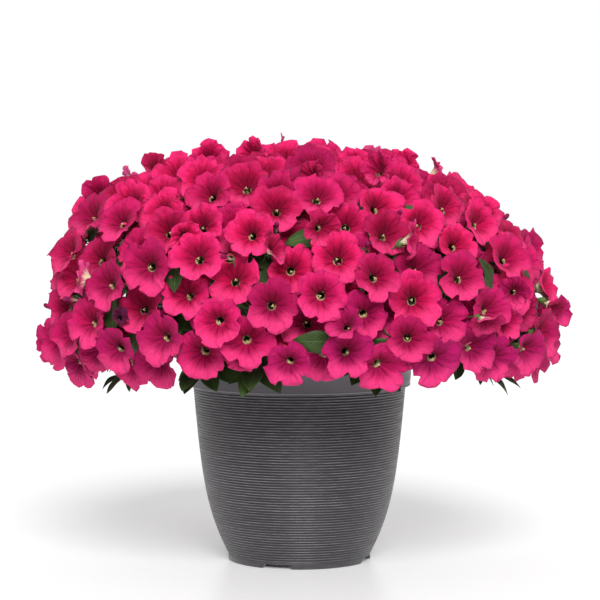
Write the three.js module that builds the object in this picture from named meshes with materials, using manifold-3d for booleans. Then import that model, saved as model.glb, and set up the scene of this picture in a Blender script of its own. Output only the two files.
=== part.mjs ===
// A spreading petunia in full bloom, in its round planter.
// Millimetres, +Z up, the origin in the middle of the pot's foot, the front towards -Y.
//
// The plant is a dome that stands on a few rules. A golden-angle spiral places the blooms on the
// dome, each bloom draws back until it clears its neighbours, and each hangs on the nearest of the
// stems that fan out of the potting mix. Leafy stems rise between the sprays, and every leaf turns
// aside until it is clear of the blooms and stems round it.
import * as THREE from 'three';
import { mergeVertices } from 'three/addons/utils/BufferGeometryUtils.js';
import Module from 'manifold-3d';

const wasm = await Module();
wasm.setup();

// The pot
const POT_HEIGHT = 276;
const RIM_RADIUS = 150;
const BAND_HEIGHT = 45;
const BAND_LOW_RADIUS = 146;
const BODY_TOP_RADIUS = 139.5;
const BELLY_LOW = { radius: 120, height: 62 };
const BELLY_HIGH = { radius: 127, height: 102 };
const BODY_STEPS = 5;
const BODY_FOOT_STEP = { out: 0.5, up: 1 };
const FOOT_RADIUS = 92;
const FOOT_HEIGHT = 7;
const FOOT_RING_WIDTH = 7;
const WALL = 4;
const FLOOR_THICKNESS = 5;
const FLOOR_RADIUS = 90;
const NOTCH_COUNT = 4;
const NOTCH_WIDTH = 37;
const NOTCH_HEIGHT = 5.5;
const FIRST_NOTCH_AZIMUTH = -107 * Math.PI / 180;
const DRAIN_COUNT = 6;
const DRAIN_RADIUS = 7;
const DRAIN_CIRCLE = 55;
const DRAIN_SIDES = 8;
const POT_SIDES = 32;

// The potting mix, with the gap that it keeps to the pot and that the stems keep to it
const SEAT_GAP = 0.3;
const SIDE_GAP = 0.45;
const MIX_TOP = 262;
const MIX_CROWN = 4;
const HOLE_DEPTH = 12;
const HOLE_RADIUS = 4.9;
const HOLE_SIDES = 4;

// The dome on which the blooms stand, with its tucked-in skirt, its lean to the left and its step forward
const DOME_RADIUS = 334;
const DOME_TOP = 532;
const DOME_MIDDLE = 316;
const DOME_SQUARENESS = 2.4;
const DOME_DEPTH_SHARE = 0.95;
const SKIRT_DROP = 55;
const SKIRT_TUCK = 46;
const SKIRT_SWAY = 9;
const LEAN = 0.11;
const LEAN_OFFSET = 3;
const FORWARD_OFFSET = -5;
const CROWN_STEPS = 90;
const SKIRT_STEPS = 30;

// A bloom
const BLOOM_COUNT = 236;
const BLOOM_RADIUS = 28.5;
const BLOOM_RADIUS_SPREAD = 5;
const BLOOM_DISH = 11;
const LOBES = 5;
const NOTCH_SHARE = 0.84;
const LOBE_WAVE = 3;
const NECK_RADIUS = 5;
const NECK_DEPTH = 13.5;
const PEDICEL_RADIUS = 1.1;
const INNER_SAMPLES_AT = 0.5;

// How the blooms are placed: they face outwards, and all turn a little to the front, where the light is
const OUTWARD_FACING = 0.6;
const FRONT_FACING = 0.6;
const TILT_SPREAD = 0.6;
const TILT_UPWARD = 0.3;
const PLACE_SPREAD = 15;
const DRAW_BACK = 7;
const DRAW_BACK_STEPS = 5;
const FIRST_STEPS = 3;
const BLOOM_TRIES = 40;
const ROUND_SHRINK = 1.2;
const BLOOM_GAP = 1.1;
const NEIGHBOUR_REACH = 110;
const BLOOM_SEED = 135074;
const TUBE_SAMPLES = [0, 0.3, 0.6, 0.9];
const THROAT_THICKNESS = 3;

// The stems: each stands on a circle in the potting mix and rises to its place under the dome
const STEM_RADIUS = 3.1;
const STEM_CIRCLE = 104;
const STEM_RUNS = 3;
const STEM_BEND = 0.42;
const SPRAY_COUNT = 38;
const SPRAY_PHASE = 0.4;
const SPRAY_TIP_DEPTH = 46;
const FIRST_JOINT = 4;
const JOINT_SPACING = 8;
const SUNK_SHARE = 0.9;

// The leafy stems and their leaves
const DOME_STEMS = 10;
const DOME_CANDIDATES = 400;
const DOME_FIRST_SHARE = 0.02;
const DOME_LAST_SHARE = 0.88;
const DOME_STEM_DEPTH = 44;
const DOME_LEAVES = 5;
const DOME_LEAF_START = 0.6;
const DOME_LEAF_TURN = 0.55;
const DOME_LEAF_LIFTS = [0.75, 0.45, 1.05];
const SKIRT_STEMS = 8;
const SKIRT_CANDIDATES = 360;
const SKIRT_SHARE = 0.985;
const SKIRT_STEM_DEPTH = 44;
const SKIRT_STEM_FALL = 0.6;
const SKIRT_LEAVES = 6;
const SKIRT_LEAF_REACH = 0.8;
const SKIRT_LEAF_START = 0.3;
const SKIRT_LEAF_FAN = 0.25;
const SKIRT_LEAF_TURN = 0.09;
const SKIRT_LEAF_FALLS = [0.45, 0.25, 0.7];
const SKIRT_LEAF_DROOP = 0.08;
const STEM_TRIES = 24;
const STEM_SWING = 4;
const STEM_SWING_POWER = 0.7;
const STEM_SAMPLES = 10;
const STEM_GAP = 2;
const FIRST_LEAF = 3;
const LEAF_SPACING = 9;
const LEAF_TRIES = 36;
const LEAF_SEED = 7919;
const SMALLER_LEAF = 0.8;
const LONGEST_LEAF = 1.08;
const LEAF_LENGTH_SPREAD = 0.2;
const LEAF_LENGTH = 50;
const LEAF_WIDTH = 27;
const LEAF_ARCH = 0.1;
const LEAF_ARCH_PEAK = 0.75;
const LEAF_OUTLINE_POWER = 0.8;
const LEAF_KEEL = 2.2;
const PETIOLE_RADIUS = 1.1;
const LEAF_GAP = 1.2;
const LEAF_CLEARANCE = 3.7;
const LEAF_APART = 5.4;
const LEAF_RINGS = [0.3, 0.62];
const LEAF_SAMPLE_ROWS = [0.86, 0.72, 0.58, 0.44, 0.3, 0.16];
const LEAF_SAMPLE_COLUMNS = [-1, -0.5, 0, 0.5, 1];
const OUTER_SAMPLES = 21;

const GOLDEN_ANGLE = Math.PI * (3 - Math.sqrt(5));
const UP = new THREE.Vector3(0, 0, 1);
const FRONT = new THREE.Vector3(0, -1, 0);

// Helpers on vectors and numbers

function vector(x, y, z) {
  return new THREE.Vector3(x, y, z);
}

function along(point, direction, distance) {
  return point.clone().addScaledVector(direction, distance);
}

function between(from, to, share) {
  return from.clone().lerp(to, share);
}

// A seeded stream of even random numbers between 0 and 1
function randomStream(seed) {
  let state = seed;
  return () => {
    state = (state * 1664525 + 1013904223) % 4294967296;
    return state / 4294967296;
  };
}

function randomVector(random, lift) {
  return vector(random() - 0.5, random() - 0.5, random() - 0.5 + lift);
}

// The dome

// Half the dome's outline from the top down to the skirt's edge, with the area above each point
function domeOutline() {
  const points = [];
  for (let i = 0; i <= CROWN_STEPS; i++) {
    const turn = (i / CROWN_STEPS) * Math.PI / 2;
    const r = DOME_RADIUS * Math.sin(turn) ** (2 / DOME_SQUARENESS);
    const z = DOME_MIDDLE + (DOME_TOP - DOME_MIDDLE) * Math.cos(turn) ** (2 / DOME_SQUARENESS);
    points.push({ r, z });
  }
  for (let i = 1; i <= SKIRT_STEPS; i++) {
    const turn = (i / SKIRT_STEPS) * Math.PI / 2;
    const r = DOME_RADIUS - SKIRT_TUCK * (1 - Math.cos(turn));
    points.push({ r, z: DOME_MIDDLE - SKIRT_DROP * Math.sin(turn) });
  }
  let area = 0;
  points.forEach((point, i) => {
    const before = points[Math.max(0, i - 1)];
    area += Math.hypot(point.r - before.r, point.z - before.z) * (point.r + before.r);
    point.area = area;
  });
  return points;
}

const outline = domeOutline();
const domeArea = outline[outline.length - 1].area;

// A place on the dome: its share of the dome's area from the top, its azimuth, and its directions
function domePlace(share, azimuth) {
  const i = Math.max(1, outline.findIndex((point) => point.area >= share * domeArea));
  const from = outline[i - 1];
  const to = outline[i];
  const part = (share * domeArea - from.area) / (to.area - from.area);
  const r = from.r + (to.r - from.r) * part;
  const z = from.z + (to.z - from.z) * part;
  const run = Math.hypot(to.r - from.r, to.z - from.z);
  const outward = vector(Math.cos(azimuth), Math.sin(azimuth), 0);
  const normal = outward.clone().multiplyScalar((from.z - to.z) / run)
    .addScaledVector(UP, (to.r - from.r) / run);
  const low = Math.max(0, share - 0.5) * 2;
  const sway = -SKIRT_SWAY * Math.cos(2 * azimuth) * low * low;
  const lean = LEAN_OFFSET - LEAN * Math.max(0, z - DOME_MIDDLE);
  const forward = FORWARD_OFFSET + r * DOME_DEPTH_SHARE * outward.y;
  const point = vector(lean + r * outward.x, forward, z + sway);
  const level = UP.clone().cross(normal).normalize();
  const steep = normal.clone().cross(level);
  return { share, azimuth, point, normal, outward, level, steep };
}

// Placing the blooms

// A point in a bloom's own frame: round its axis, out from it, and forward along it
function bloomPoint(bloom, radius, angle, height) {
  return bloom.face.clone()
    .addScaledVector(bloom.side, radius * Math.cos(angle))
    .addScaledVector(bloom.front, radius * Math.sin(angle))
    .addScaledVector(bloom.axis, height);
}

// The ten points round a bloom's rim: lobe tips and the notches between them, one after another
function rimPoints(bloom) {
  const points = [];
  for (let i = 0; i < 2 * LOBES; i++) {
    const isTip = i % 2 === 0;
    const radius = isTip ? bloom.radius : bloom.radius * NOTCH_SHARE;
    const wave = isTip ? bloom.waves[i / 2] : 0;
    points.push(bloomPoint(bloom, radius, (i / LOBES) * Math.PI, wave));
  }
  return points;
}

function neckPoint(bloom) {
  return along(bloom.face, bloom.axis, -NECK_DEPTH);
}

// The points at which a bloom is tested against its neighbours, on its limb and down its tube
function bloomSamples(bloom) {
  const limb = rimPoints(bloom);
  for (let i = 0; i < LOBES; i++) {
    const angle = (2 * i / LOBES) * Math.PI;
    limb.push(bloomPoint(bloom, bloom.radius * INNER_SAMPLES_AT, angle, -BLOOM_DISH * INNER_SAMPLES_AT));
  }
  const inner = along(bloom.face, bloom.place.normal, -SPRAY_TIP_DEPTH);
  const tube = TUBE_SAMPLES.map((share) => between(neckPoint(bloom), inner, share));
  return { limb, tube };
}

// Whether some points touch a bloom's limb, or lie on both of its sides
function pierce(points, bloom, gap) {
  let above = false;
  let below = false;
  for (const point of points) {
    const offset = point.clone().sub(bloom.face);
    const height = offset.dot(bloom.axis);
    const radius = Math.sqrt(Math.max(0, offset.lengthSq() - height * height));
    if (radius > bloom.radius + gap) {
      continue;
    }
    const inward = 1 - radius / bloom.radius;
    const surface = -BLOOM_DISH * inward;
    if (height > surface + gap + LOBE_WAVE) {
      above = true;
    } else if (height < surface - gap - LOBE_WAVE - THROAT_THICKNESS * inward) {
      below = true;
    } else {
      return true;
    }
  }
  return above && below;
}

function bloomsClash(a, b) {
  return [[a, b], [b, a]].some(([one, other]) => (
    pierce(one.samples.limb, other, BLOOM_GAP) || pierce(one.samples.tube, other, BLOOM_GAP)));
}

// One try at a bloom: each step draws it back into the dome, and each round makes it smaller
function tryBloom(place, jitter, step, round, random) {
  const tilt = randomVector(random, TILT_UPWARD).multiplyScalar(TILT_SPREAD);
  const facing = along(along(place.normal, place.outward, OUTWARD_FACING), FRONT, FRONT_FACING);
  const axis = facing.add(tilt).normalize();
  const level = UP.clone().cross(axis).normalize();
  const roll = random() * 2 * Math.PI;
  const side = level.clone().applyAxisAngle(axis, roll);
  const front = axis.clone().cross(side);
  const face = along(place.point, place.normal, -step * DRAW_BACK).add(jitter);
  const radius = BLOOM_RADIUS + BLOOM_RADIUS_SPREAD * random() - ROUND_SHRINK * round;
  const waves = [];
  for (let i = 0; i < LOBES; i++) {
    waves.push(LOBE_WAVE * (2 * random() - 1));
  }
  const bloom = { place, face, axis, side, front, radius, waves };
  bloom.samples = bloomSamples(bloom);
  return bloom;
}

// A bloom at one place of the spiral, tried until it clears those placed before it
function placeBloom(index, placed, random) {
  const place = domePlace((index + 0.5) / BLOOM_COUNT, index * GOLDEN_ANGLE);
  const jitter = randomVector(random, 0).multiplyScalar(PLACE_SPREAD).projectOnPlane(place.normal);
  const first = Math.floor(random() * FIRST_STEPS);
  const near = placed.filter((other) => other.place.point.distanceTo(place.point) < NEIGHBOUR_REACH);
  for (let attempt = 0; attempt < BLOOM_TRIES; attempt++) {
    const step = (first + attempt) % DRAW_BACK_STEPS;
    const round = Math.floor(attempt / DRAW_BACK_STEPS);
    const bloom = tryBloom(place, jitter, step, round, random);
    if (!near.some((other) => bloomsClash(bloom, other))) {
      return bloom;
    }
  }
  return null;
}

function placeBlooms() {
  const random = randomStream(BLOOM_SEED);
  const blooms = [];
  for (let index = 0; index < BLOOM_COUNT; index++) {
    const bloom = placeBloom(index, blooms, random);
    if (bloom) {
      blooms.push(bloom);
    }
  }
  return blooms;
}

// Placing the stems

// A stem's centre line: an upright stretch in its hole, then a few runs along a curve to its tip
function stemPath(place, tip, direction) {
  const reach = STEM_CIRCLE * Math.sqrt(place.share);
  const foot = along(vector(0, 0, MIX_TOP - HOLE_DEPTH + SEAT_GAP), place.outward, reach);
  const collar = foot.clone().setZ(MIX_TOP + MIX_CROWN + 1);
  const bend = STEM_BEND * collar.distanceTo(tip);
  const curve = new THREE.CubicBezierCurve3(
    collar,
    along(collar, UP, bend),
    along(tip, direction, -bend),
    tip,
  );
  return [foot, ...curve.getPoints(STEM_RUNS)];
}

// The point at a distance back down a stem from its tip
function pointOnStem(path, distance) {
  let i = path.length - 1;
  let left = distance;
  while (i > 2 && left > path[i].distanceTo(path[i - 1])) {
    left -= path[i].distanceTo(path[i - 1]);
    i--;
  }
  const share = left / path[i].distanceTo(path[i - 1]);
  return between(path[i], path[i - 1], Math.min(share, SUNK_SHARE));
}

// How far out from the middle of its spray a bloom stands
function spreadFromStem(bloom, spray) {
  return bloom.face.clone().sub(spray.tip).projectOnPlane(spray.place.normal).length();
}

// The sprays: every bloom joins the nearest stem, and the farther out it stands the lower it joins
function placeSprays(blooms) {
  const sprays = [];
  for (let i = 0; i < SPRAY_COUNT; i++) {
    const place = domePlace((i + 0.5) / SPRAY_COUNT, (i + SPRAY_PHASE) * GOLDEN_ANGLE);
    const tip = along(place.point, place.normal, -SPRAY_TIP_DEPTH);
    sprays.push({ place, tip, path: stemPath(place, tip, place.normal), blooms: [] });
  }
  for (const bloom of blooms) {
    const distances = sprays.map((spray) => spray.place.point.distanceTo(bloom.place.point));
    sprays[distances.indexOf(Math.min(...distances))].blooms.push(bloom);
  }
  for (const spray of sprays) {
    spray.blooms.sort((a, b) => spreadFromStem(a, spray) - spreadFromStem(b, spray));
    spray.blooms.forEach((bloom, i) => {
      bloom.root = pointOnStem(spray.path, FIRST_JOINT + i * JOINT_SPACING);
    });
  }
  return sprays;
}

// Placing the leafy stems and their leaves

// Of many candidates, the places that lie as far as they can from all those taken before
function farthestPlaces(count, candidates, taken) {
  const chosen = [];
  for (let i = 0; i < count; i++) {
    const others = [...taken, ...chosen].map((place) => place.point);
    const room = candidates.map((place) => Math.min(...others.map((point) => point.distanceTo(place.point))));
    chosen.push(candidates[room.indexOf(Math.max(...room))]);
  }
  return chosen;
}

function skirtPlaces(taken) {
  const candidates = [];
  for (let i = 0; i < SKIRT_CANDIDATES; i++) {
    candidates.push(domePlace(SKIRT_SHARE, (i / SKIRT_CANDIDATES) * 2 * Math.PI));
  }
  return farthestPlaces(SKIRT_STEMS, candidates, taken);
}

function domePlaces(taken) {
  const candidates = [];
  for (let i = 0; i < DOME_CANDIDATES; i++) {
    const part = (i + 0.5) / DOME_CANDIDATES;
    const share = DOME_FIRST_SHARE + (DOME_LAST_SHARE - DOME_FIRST_SHARE) * part;
    candidates.push(domePlace(share, i * GOLDEN_ANGLE));
  }
  return farthestPlaces(DOME_STEMS, candidates, taken);
}

// A leaf grows from its base along its midrib, with its width to the side and its upper face up
function makeLeaf(base, midrib, facing, length) {
  const side = midrib.clone().cross(facing).normalize();
  const upper = side.clone().cross(midrib);
  const leaf = { base, midrib, side, upper, length, width: LEAF_WIDTH * length / LEAF_LENGTH };
  leaf.samples = [leafPoint(leaf, 1, 0, 0)];
  for (const share of LEAF_SAMPLE_ROWS) {
    for (const across of LEAF_SAMPLE_COLUMNS) {
      leaf.samples.push(leafPoint(leaf, share, across, 0));
    }
  }
  return leaf;
}

// A point of a leaf's blade: its share of the length, how far across, and its height over the blade
function leafPoint(leaf, share, across, height) {
  const power = LEAF_OUTLINE_POWER;
  const half = leaf.width / 2 * Math.sin(Math.PI * share ** power) ** power;
  const lift = LEAF_ARCH * leaf.length * Math.sin(Math.PI * share * LEAF_ARCH_PEAK);
  return along(leaf.base, leaf.midrib, share * leaf.length)
    .addScaledVector(leaf.side, across * half)
    .addScaledVector(leaf.upper, lift + height);
}

// How far a point lies from the skin of a straight rod, which may taper
function distanceToRod(point, rod) {
  const line = rod.to.clone().sub(rod.from);
  const share = THREE.MathUtils.clamp(point.clone().sub(rod.from).dot(line) / line.lengthSq(), 0, 1);
  const radius = rod.fromRadius + (rod.toRadius - rod.fromRadius) * share;
  return point.distanceTo(between(rod.from, rod.to, share)) - radius;
}

function stemRods(stem) {
  return stem.path.slice(1).map((to, i) => (
    { from: stem.path[i], to, fromRadius: STEM_RADIUS, toRadius: STEM_RADIUS }));
}

function tubeRod(bloom) {
  return { from: neckPoint(bloom), to: bloom.root, fromRadius: NECK_RADIUS, toRadius: PEDICEL_RADIUS };
}

function leavesMeet(samples, others) {
  return samples.some((point) => others.some((other) => point.distanceTo(other) < LEAF_APART));
}

// Whether a leaf keeps clear of the blooms, of the stems and tubes, and of the other leaves
function leafIsClear(leaf, siblings, plant) {
  const reach = leaf.length + NEIGHBOUR_REACH / 2;
  const near = plant.blooms.filter((bloom) => bloom.face.distanceTo(leaf.base) < reach);
  const outer = leaf.samples.slice(0, OUTER_SAMPLES);
  const touchesRod = (point) => plant.rods.some((rod) => distanceToRod(point, rod) < LEAF_CLEARANCE);
  return !near.some((bloom) => pierce(leaf.samples, bloom, LEAF_GAP))
    && !leaf.samples.some(touchesRod)
    && !leavesMeet(leaf.samples, plant.leafSamples)
    && !siblings.some((other) => leavesMeet(outer, other.samples.slice(0, OUTER_SAMPLES)));
}

// A leafy stem's path: its tip swings aside until the stem runs clear of all the others
function leafyPath(place, depth, inward, direction, plant) {
  let path = [];
  for (let attempt = 0; attempt < STEM_TRIES; attempt++) {
    const swing = STEM_SWING * attempt ** STEM_SWING_POWER;
    const tip = along(place.point, inward, depth)
      .addScaledVector(place.level, swing * Math.cos(attempt * GOLDEN_ANGLE))
      .addScaledVector(place.steep, swing * Math.sin(attempt * GOLDEN_ANGLE));
    path = stemPath(place, tip, direction);
    const samples = [];
    for (let i = 1; i < path.length; i++) {
      for (let part = 0; part <= STEM_SAMPLES; part++) {
        samples.push(between(path[i - 1], path[i], part / STEM_SAMPLES));
      }
    }
    const meets = (point) => plant.rods.some((rod) => distanceToRod(point, rod) < STEM_RADIUS + STEM_GAP);
    if (!samples.some(meets)) {
      return path;
    }
  }
  return path;
}

// Leaves take turns up a stem, and each turns aside until it is clear, or is left out
function growLeaves(count, path, heading, plant, random) {
  const leaves = [];
  for (let i = 0; i < count; i++) {
    const base = pointOnStem(path, FIRST_LEAF + i * LEAF_SPACING);
    const start = random();
    for (let attempt = 0; attempt < LEAF_TRIES; attempt++) {
      const size = attempt < LEAF_TRIES / 2 ? 1 : SMALLER_LEAF;
      const length = LEAF_LENGTH * size * (LONGEST_LEAF - LEAF_LENGTH_SPREAD * random());
      const { midrib, facing } = heading(i, attempt, start);
      const leaf = makeLeaf(base, midrib, facing, length);
      if (leafIsClear(leaf, leaves, plant)) {
        leaves.push(leaf);
        break;
      }
    }
  }
  return leaves;
}

// A stem inside the dome, with its leaves spread round it and lifted towards the light
function growDomeStem(place, plant, random) {
  const inward = place.normal.clone().negate();
  const path = leafyPath(place, DOME_STEM_DEPTH, inward, place.normal, plant);
  const heading = (i, attempt, start) => {
    const angle = DOME_LEAF_START * start + i * GOLDEN_ANGLE + attempt * DOME_LEAF_TURN;
    const lift = DOME_LEAF_LIFTS[attempt % DOME_LEAF_LIFTS.length];
    const midrib = place.level.clone().multiplyScalar(Math.cos(angle))
      .addScaledVector(place.steep, Math.sin(angle))
      .addScaledVector(place.normal, lift)
      .normalize();
    return { midrib, facing: place.normal };
  };
  return { place, path, leaves: growLeaves(DOME_LEAVES, path, heading, plant, random) };
}

// A stem along the skirt, whose leaves fan out to both sides and hang below the blooms
function growSkirtStem(place, plant, random) {
  const inward = place.outward.clone().negate();
  const direction = along(place.outward, UP, -SKIRT_STEM_FALL).normalize();
  const path = leafyPath(place, SKIRT_STEM_DEPTH, inward, direction, plant);
  const facing = along(place.outward, UP, 1).normalize();
  const heading = (i, attempt, start) => {
    const side = i % 2 === 0 ? 1 : -1;
    const turn = attempt % 2 === 0 ? attempt : -attempt;
    const fan = side * (SKIRT_LEAF_FAN * i + SKIRT_LEAF_START * start) + SKIRT_LEAF_TURN * turn;
    const fall = SKIRT_LEAF_FALLS[attempt % SKIRT_LEAF_FALLS.length] + SKIRT_LEAF_DROOP * i;
    const midrib = place.outward.clone().multiplyScalar(SKIRT_LEAF_REACH * Math.cos(fan))
      .addScaledVector(place.level, Math.sin(fan))
      .addScaledVector(UP, -fall)
      .normalize();
    return { midrib, facing };
  };
  return { place, path, leaves: growLeaves(SKIRT_LEAVES, path, heading, plant, random) };
}

function placeLeafyStems(sprays, blooms) {
  const random = randomStream(LEAF_SEED);
  const plant = {
    blooms,
    rods: [...blooms.map(tubeRod), ...sprays.flatMap(stemRods)],
    leafSamples: [],
  };
  const taken = sprays.map((spray) => spray.place);
  const low = skirtPlaces(taken);
  const high = domePlaces([...taken, ...low]);
  const stems = [];
  for (const place of [...low, ...high]) {
    const grow = low.includes(place) ? growSkirtStem : growDomeStem;
    const stem = grow(place, plant, random);
    plant.rods.push(...stemRods(stem));
    plant.leafSamples.push(...stem.leaves.flatMap((leaf) => leaf.samples));
    stems.push(stem);
  }
  return stems;
}

// Solids

function toManifold(geometry) {
  const bare = geometry.clone();
  bare.deleteAttribute('normal');
  bare.deleteAttribute('uv');
  const merged = mergeVertices(bare, 1e-4);
  return new wasm.Manifold(new wasm.Mesh({
    numProp: 3,
    vertProperties: new Float32Array(merged.attributes.position.array),
    triVerts: new Uint32Array(merged.index.array),
  }));
}

function toGeometry(manifold) {
  const mesh = manifold.getMesh();
  const geometry = new THREE.BufferGeometry();
  geometry.setAttribute('position', new THREE.BufferAttribute(mesh.vertProperties, 3));
  geometry.setIndex(new THREE.BufferAttribute(mesh.triVerts, 1));
  geometry.computeVertexNormals();
  return geometry;
}

function fuse(geometries) {
  return geometries.map(toManifold).reduce((whole, piece) => whole.add(piece));
}

// The triangles between two rings of a loft, which take turns by their share of the way round
function bandTriangles(lowStart, lowCount, highStart, highCount) {
  const triangles = [];
  let low = 0;
  let high = 0;
  while (low < lowCount || (high < highCount && highCount > 1)) {
    const here = lowStart + (low % lowCount);
    const above = highStart + (high % highCount);
    const lowShare = (low + 1) / lowCount;
    const highShare = highCount > 1 ? (high + 1) / highCount : Infinity;
    if (lowShare < highShare - 1e-9) {
      low++;
      triangles.push(here, lowStart + (low % lowCount), above);
    } else {
      high++;
      triangles.push(here, highStart + (high % highCount), above);
    }
  }
  return triangles;
}

// A closed solid through rings of points, each ring turning the same way round the direction of
// growth. Rings may differ in their number of points, and the last may be a single point.
function loft(rings) {
  const positions = rings.flat().flatMap((point) => [point.x, point.y, point.z]);
  const triangles = [];
  let start = 0;
  for (let k = 1; k < rings.length; k++) {
    const next = start + rings[k - 1].length;
    triangles.push(...bandTriangles(start, rings[k - 1].length, next, rings[k].length));
    start = next;
  }
  for (let i = 2; i < rings[0].length; i++) {
    triangles.push(0, i, i - 1);
  }
  for (let i = 2; i < rings[rings.length - 1].length; i++) {
    triangles.push(start, start + i - 1, start + i);
  }
  const geometry = new THREE.BufferGeometry();
  geometry.setAttribute('position', new THREE.Float32BufferAttribute(positions, 3));
  geometry.setIndex(triangles);
  return geometry;
}

// Three points round a centre, square to a direction
function triangleRing(centre, direction, sideways, radius) {
  const side = sideways.clone().projectOnPlane(direction).normalize();
  const front = direction.clone().cross(side);
  return [0, 1, 2].map((i) => {
    const angle = (i / 3) * 2 * Math.PI;
    return along(centre, side, radius * Math.cos(angle)).addScaledVector(front, radius * Math.sin(angle));
  });
}

function stemSolid(stem) {
  const { path } = stem;
  const sideways = UP.clone().cross(path[path.length - 1].clone().sub(path[0])).normalize();
  return loft(path.map((point, i) => {
    const before = path[Math.max(0, i - 1)];
    const after = path[Math.min(path.length - 1, i + 1)];
    return triangleRing(point, after.clone().sub(before).normalize(), sideways, STEM_RADIUS);
  }));
}

// A bloom with its tube, from the pedicel's end sunk in the stem out to the throat
function bloomSolid(bloom) {
  const neck = neckPoint(bloom);
  const direction = neck.clone().sub(bloom.root).normalize();
  return loft([
    triangleRing(bloom.root, direction, bloom.side, PEDICEL_RADIUS),
    triangleRing(neck, bloom.axis, bloom.side, NECK_RADIUS),
    rimPoints(bloom),
    [along(bloom.face, bloom.axis, -BLOOM_DISH)],
  ]);
}

// A leaf with its petiole sunk in the stem: a blade that thickens from its edges to the midrib
function leafSolid(leaf) {
  const blade = LEAF_RINGS.map((share) => [
    leafPoint(leaf, share, 1, 0),
    leafPoint(leaf, share, 0, -LEAF_KEEL),
    leafPoint(leaf, share, -1, 0),
  ]);
  return loft([
    triangleRing(leaf.base, leaf.midrib, leaf.side, PETIOLE_RADIUS),
    ...blade,
    [leafPoint(leaf, 1, 0, 0)],
  ]);
}

// The pot and its filling

function outlinePoint(radius, height) {
  return new THREE.Vector2(radius, height);
}

// The body's outer curve from the foot up to the band, and the inner one from the band down
function bodyOutlines() {
  const outer = new THREE.CubicBezierCurve(
    outlinePoint(FOOT_RADIUS + BODY_FOOT_STEP.out, FOOT_HEIGHT + BODY_FOOT_STEP.up),
    outlinePoint(BELLY_LOW.radius, BELLY_LOW.height),
    outlinePoint(BELLY_HIGH.radius, BELLY_HIGH.height),
    outlinePoint(BODY_TOP_RADIUS, POT_HEIGHT - BAND_HEIGHT),
  ).getPoints(BODY_STEPS);
  const inner = outer.filter((point, i) => i % 2 === 1)
    .map((point) => outlinePoint(point.x - WALL, point.y))
    .reverse();
  inner.push(outlinePoint(FLOOR_RADIUS, FOOT_HEIGHT + FLOOR_THICKNESS));
  return { outer, inner };
}

function turned(points) {
  const geometry = new THREE.LatheGeometry(points, POT_SIDES);
  geometry.rotateX(Math.PI / 2);
  return toManifold(geometry);
}

function potShell() {
  const { outer, inner } = bodyOutlines();
  return turned([
    outlinePoint(0, FOOT_HEIGHT),
    outlinePoint(FOOT_RADIUS - FOOT_RING_WIDTH, FOOT_HEIGHT),
    outlinePoint(FOOT_RADIUS - FOOT_RING_WIDTH, 0),
    outlinePoint(FOOT_RADIUS, 0),
    ...outer,
    outlinePoint(BAND_LOW_RADIUS, POT_HEIGHT - BAND_HEIGHT),
    outlinePoint(RIM_RADIUS, POT_HEIGHT),
    outlinePoint(RIM_RADIUS - WALL, POT_HEIGHT),
    ...inner,
    outlinePoint(0, FOOT_HEIGHT + FLOOR_THICKNESS),
  ]);
}

function footNotch(index) {
  const notch = new THREE.BoxGeometry(5 * FOOT_RING_WIDTH, NOTCH_WIDTH, 2 * NOTCH_HEIGHT);
  notch.translate(FOOT_RADIUS, 0, 0);
  notch.rotateZ(FIRST_NOTCH_AZIMUTH + (index / NOTCH_COUNT) * 2 * Math.PI);
  return toManifold(notch);
}

function drainHole(index) {
  const azimuth = (index / DRAIN_COUNT) * 2 * Math.PI;
  const hole = new THREE.CylinderGeometry(DRAIN_RADIUS, DRAIN_RADIUS, 4 * FLOOR_THICKNESS, DRAIN_SIDES);
  hole.rotateX(Math.PI / 2);
  hole.translate(DRAIN_CIRCLE * Math.cos(azimuth), DRAIN_CIRCLE * Math.sin(azimuth), FOOT_HEIGHT);
  return toManifold(hole);
}

function makePot() {
  let solid = potShell();
  for (let i = 0; i < NOTCH_COUNT; i++) {
    solid = solid.subtract(footNotch(i));
  }
  for (let i = 0; i < DRAIN_COUNT; i++) {
    solid = solid.subtract(drainHole(i));
  }
  return solid;
}

function stemHole(stem) {
  const hole = new THREE.CylinderGeometry(HOLE_RADIUS, HOLE_RADIUS, 2 * HOLE_DEPTH, HOLE_SIDES);
  hole.rotateX(Math.PI / 2);
  hole.translate(stem.path[0].x, stem.path[0].y, MIX_TOP);
  return toManifold(hole);
}

// The potting mix fills the pot to just under the rim, with a plain hole for each stem
function makeMix(stems) {
  const { inner } = bodyOutlines();
  const bandTop = outlinePoint(RIM_RADIUS - WALL, POT_HEIGHT);
  const climb = (MIX_TOP - inner[0].y) / (bandTop.y - inner[0].y);
  const edge = inner[0].clone().lerp(bandTop, climb);
  const floor = FOOT_HEIGHT + FLOOR_THICKNESS + SEAT_GAP;
  const side = [edge, ...inner].reverse()
    .map((point) => outlinePoint(point.x - SIDE_GAP, Math.max(point.y, floor)));
  const fill = turned([outlinePoint(0, floor), ...side, outlinePoint(0, MIX_TOP + MIX_CROWN)]);
  return stems.map(stemHole).reduce((rest, hole) => rest.subtract(hole), fill);
}

// Materials

function potMaterial() {
  return new THREE.MeshStandardMaterial({ color: 0x5a565b, roughness: 0.55, metalness: 0 });
}

function mixMaterial() {
  return new THREE.MeshStandardMaterial({ color: 0x2b2019, roughness: 0.95, metalness: 0 });
}

function petalMaterial() {
  return new THREE.MeshStandardMaterial({ color: 0xd8205f, roughness: 0.6, metalness: 0 });
}

function leafMaterial() {
  return new THREE.MeshStandardMaterial({ color: 0x35512a, roughness: 0.7, metalness: 0 });
}

// The whole part

const blooms = placeBlooms();
const sprays = placeSprays(blooms);
const leafyStems = placeLeafyStems(sprays, blooms);
const group = new THREE.Group();

function addPart(name, solid, material) {
  const mesh = new THREE.Mesh(toGeometry(solid), material);
  mesh.name = name;
  group.add(mesh);
}

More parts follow.
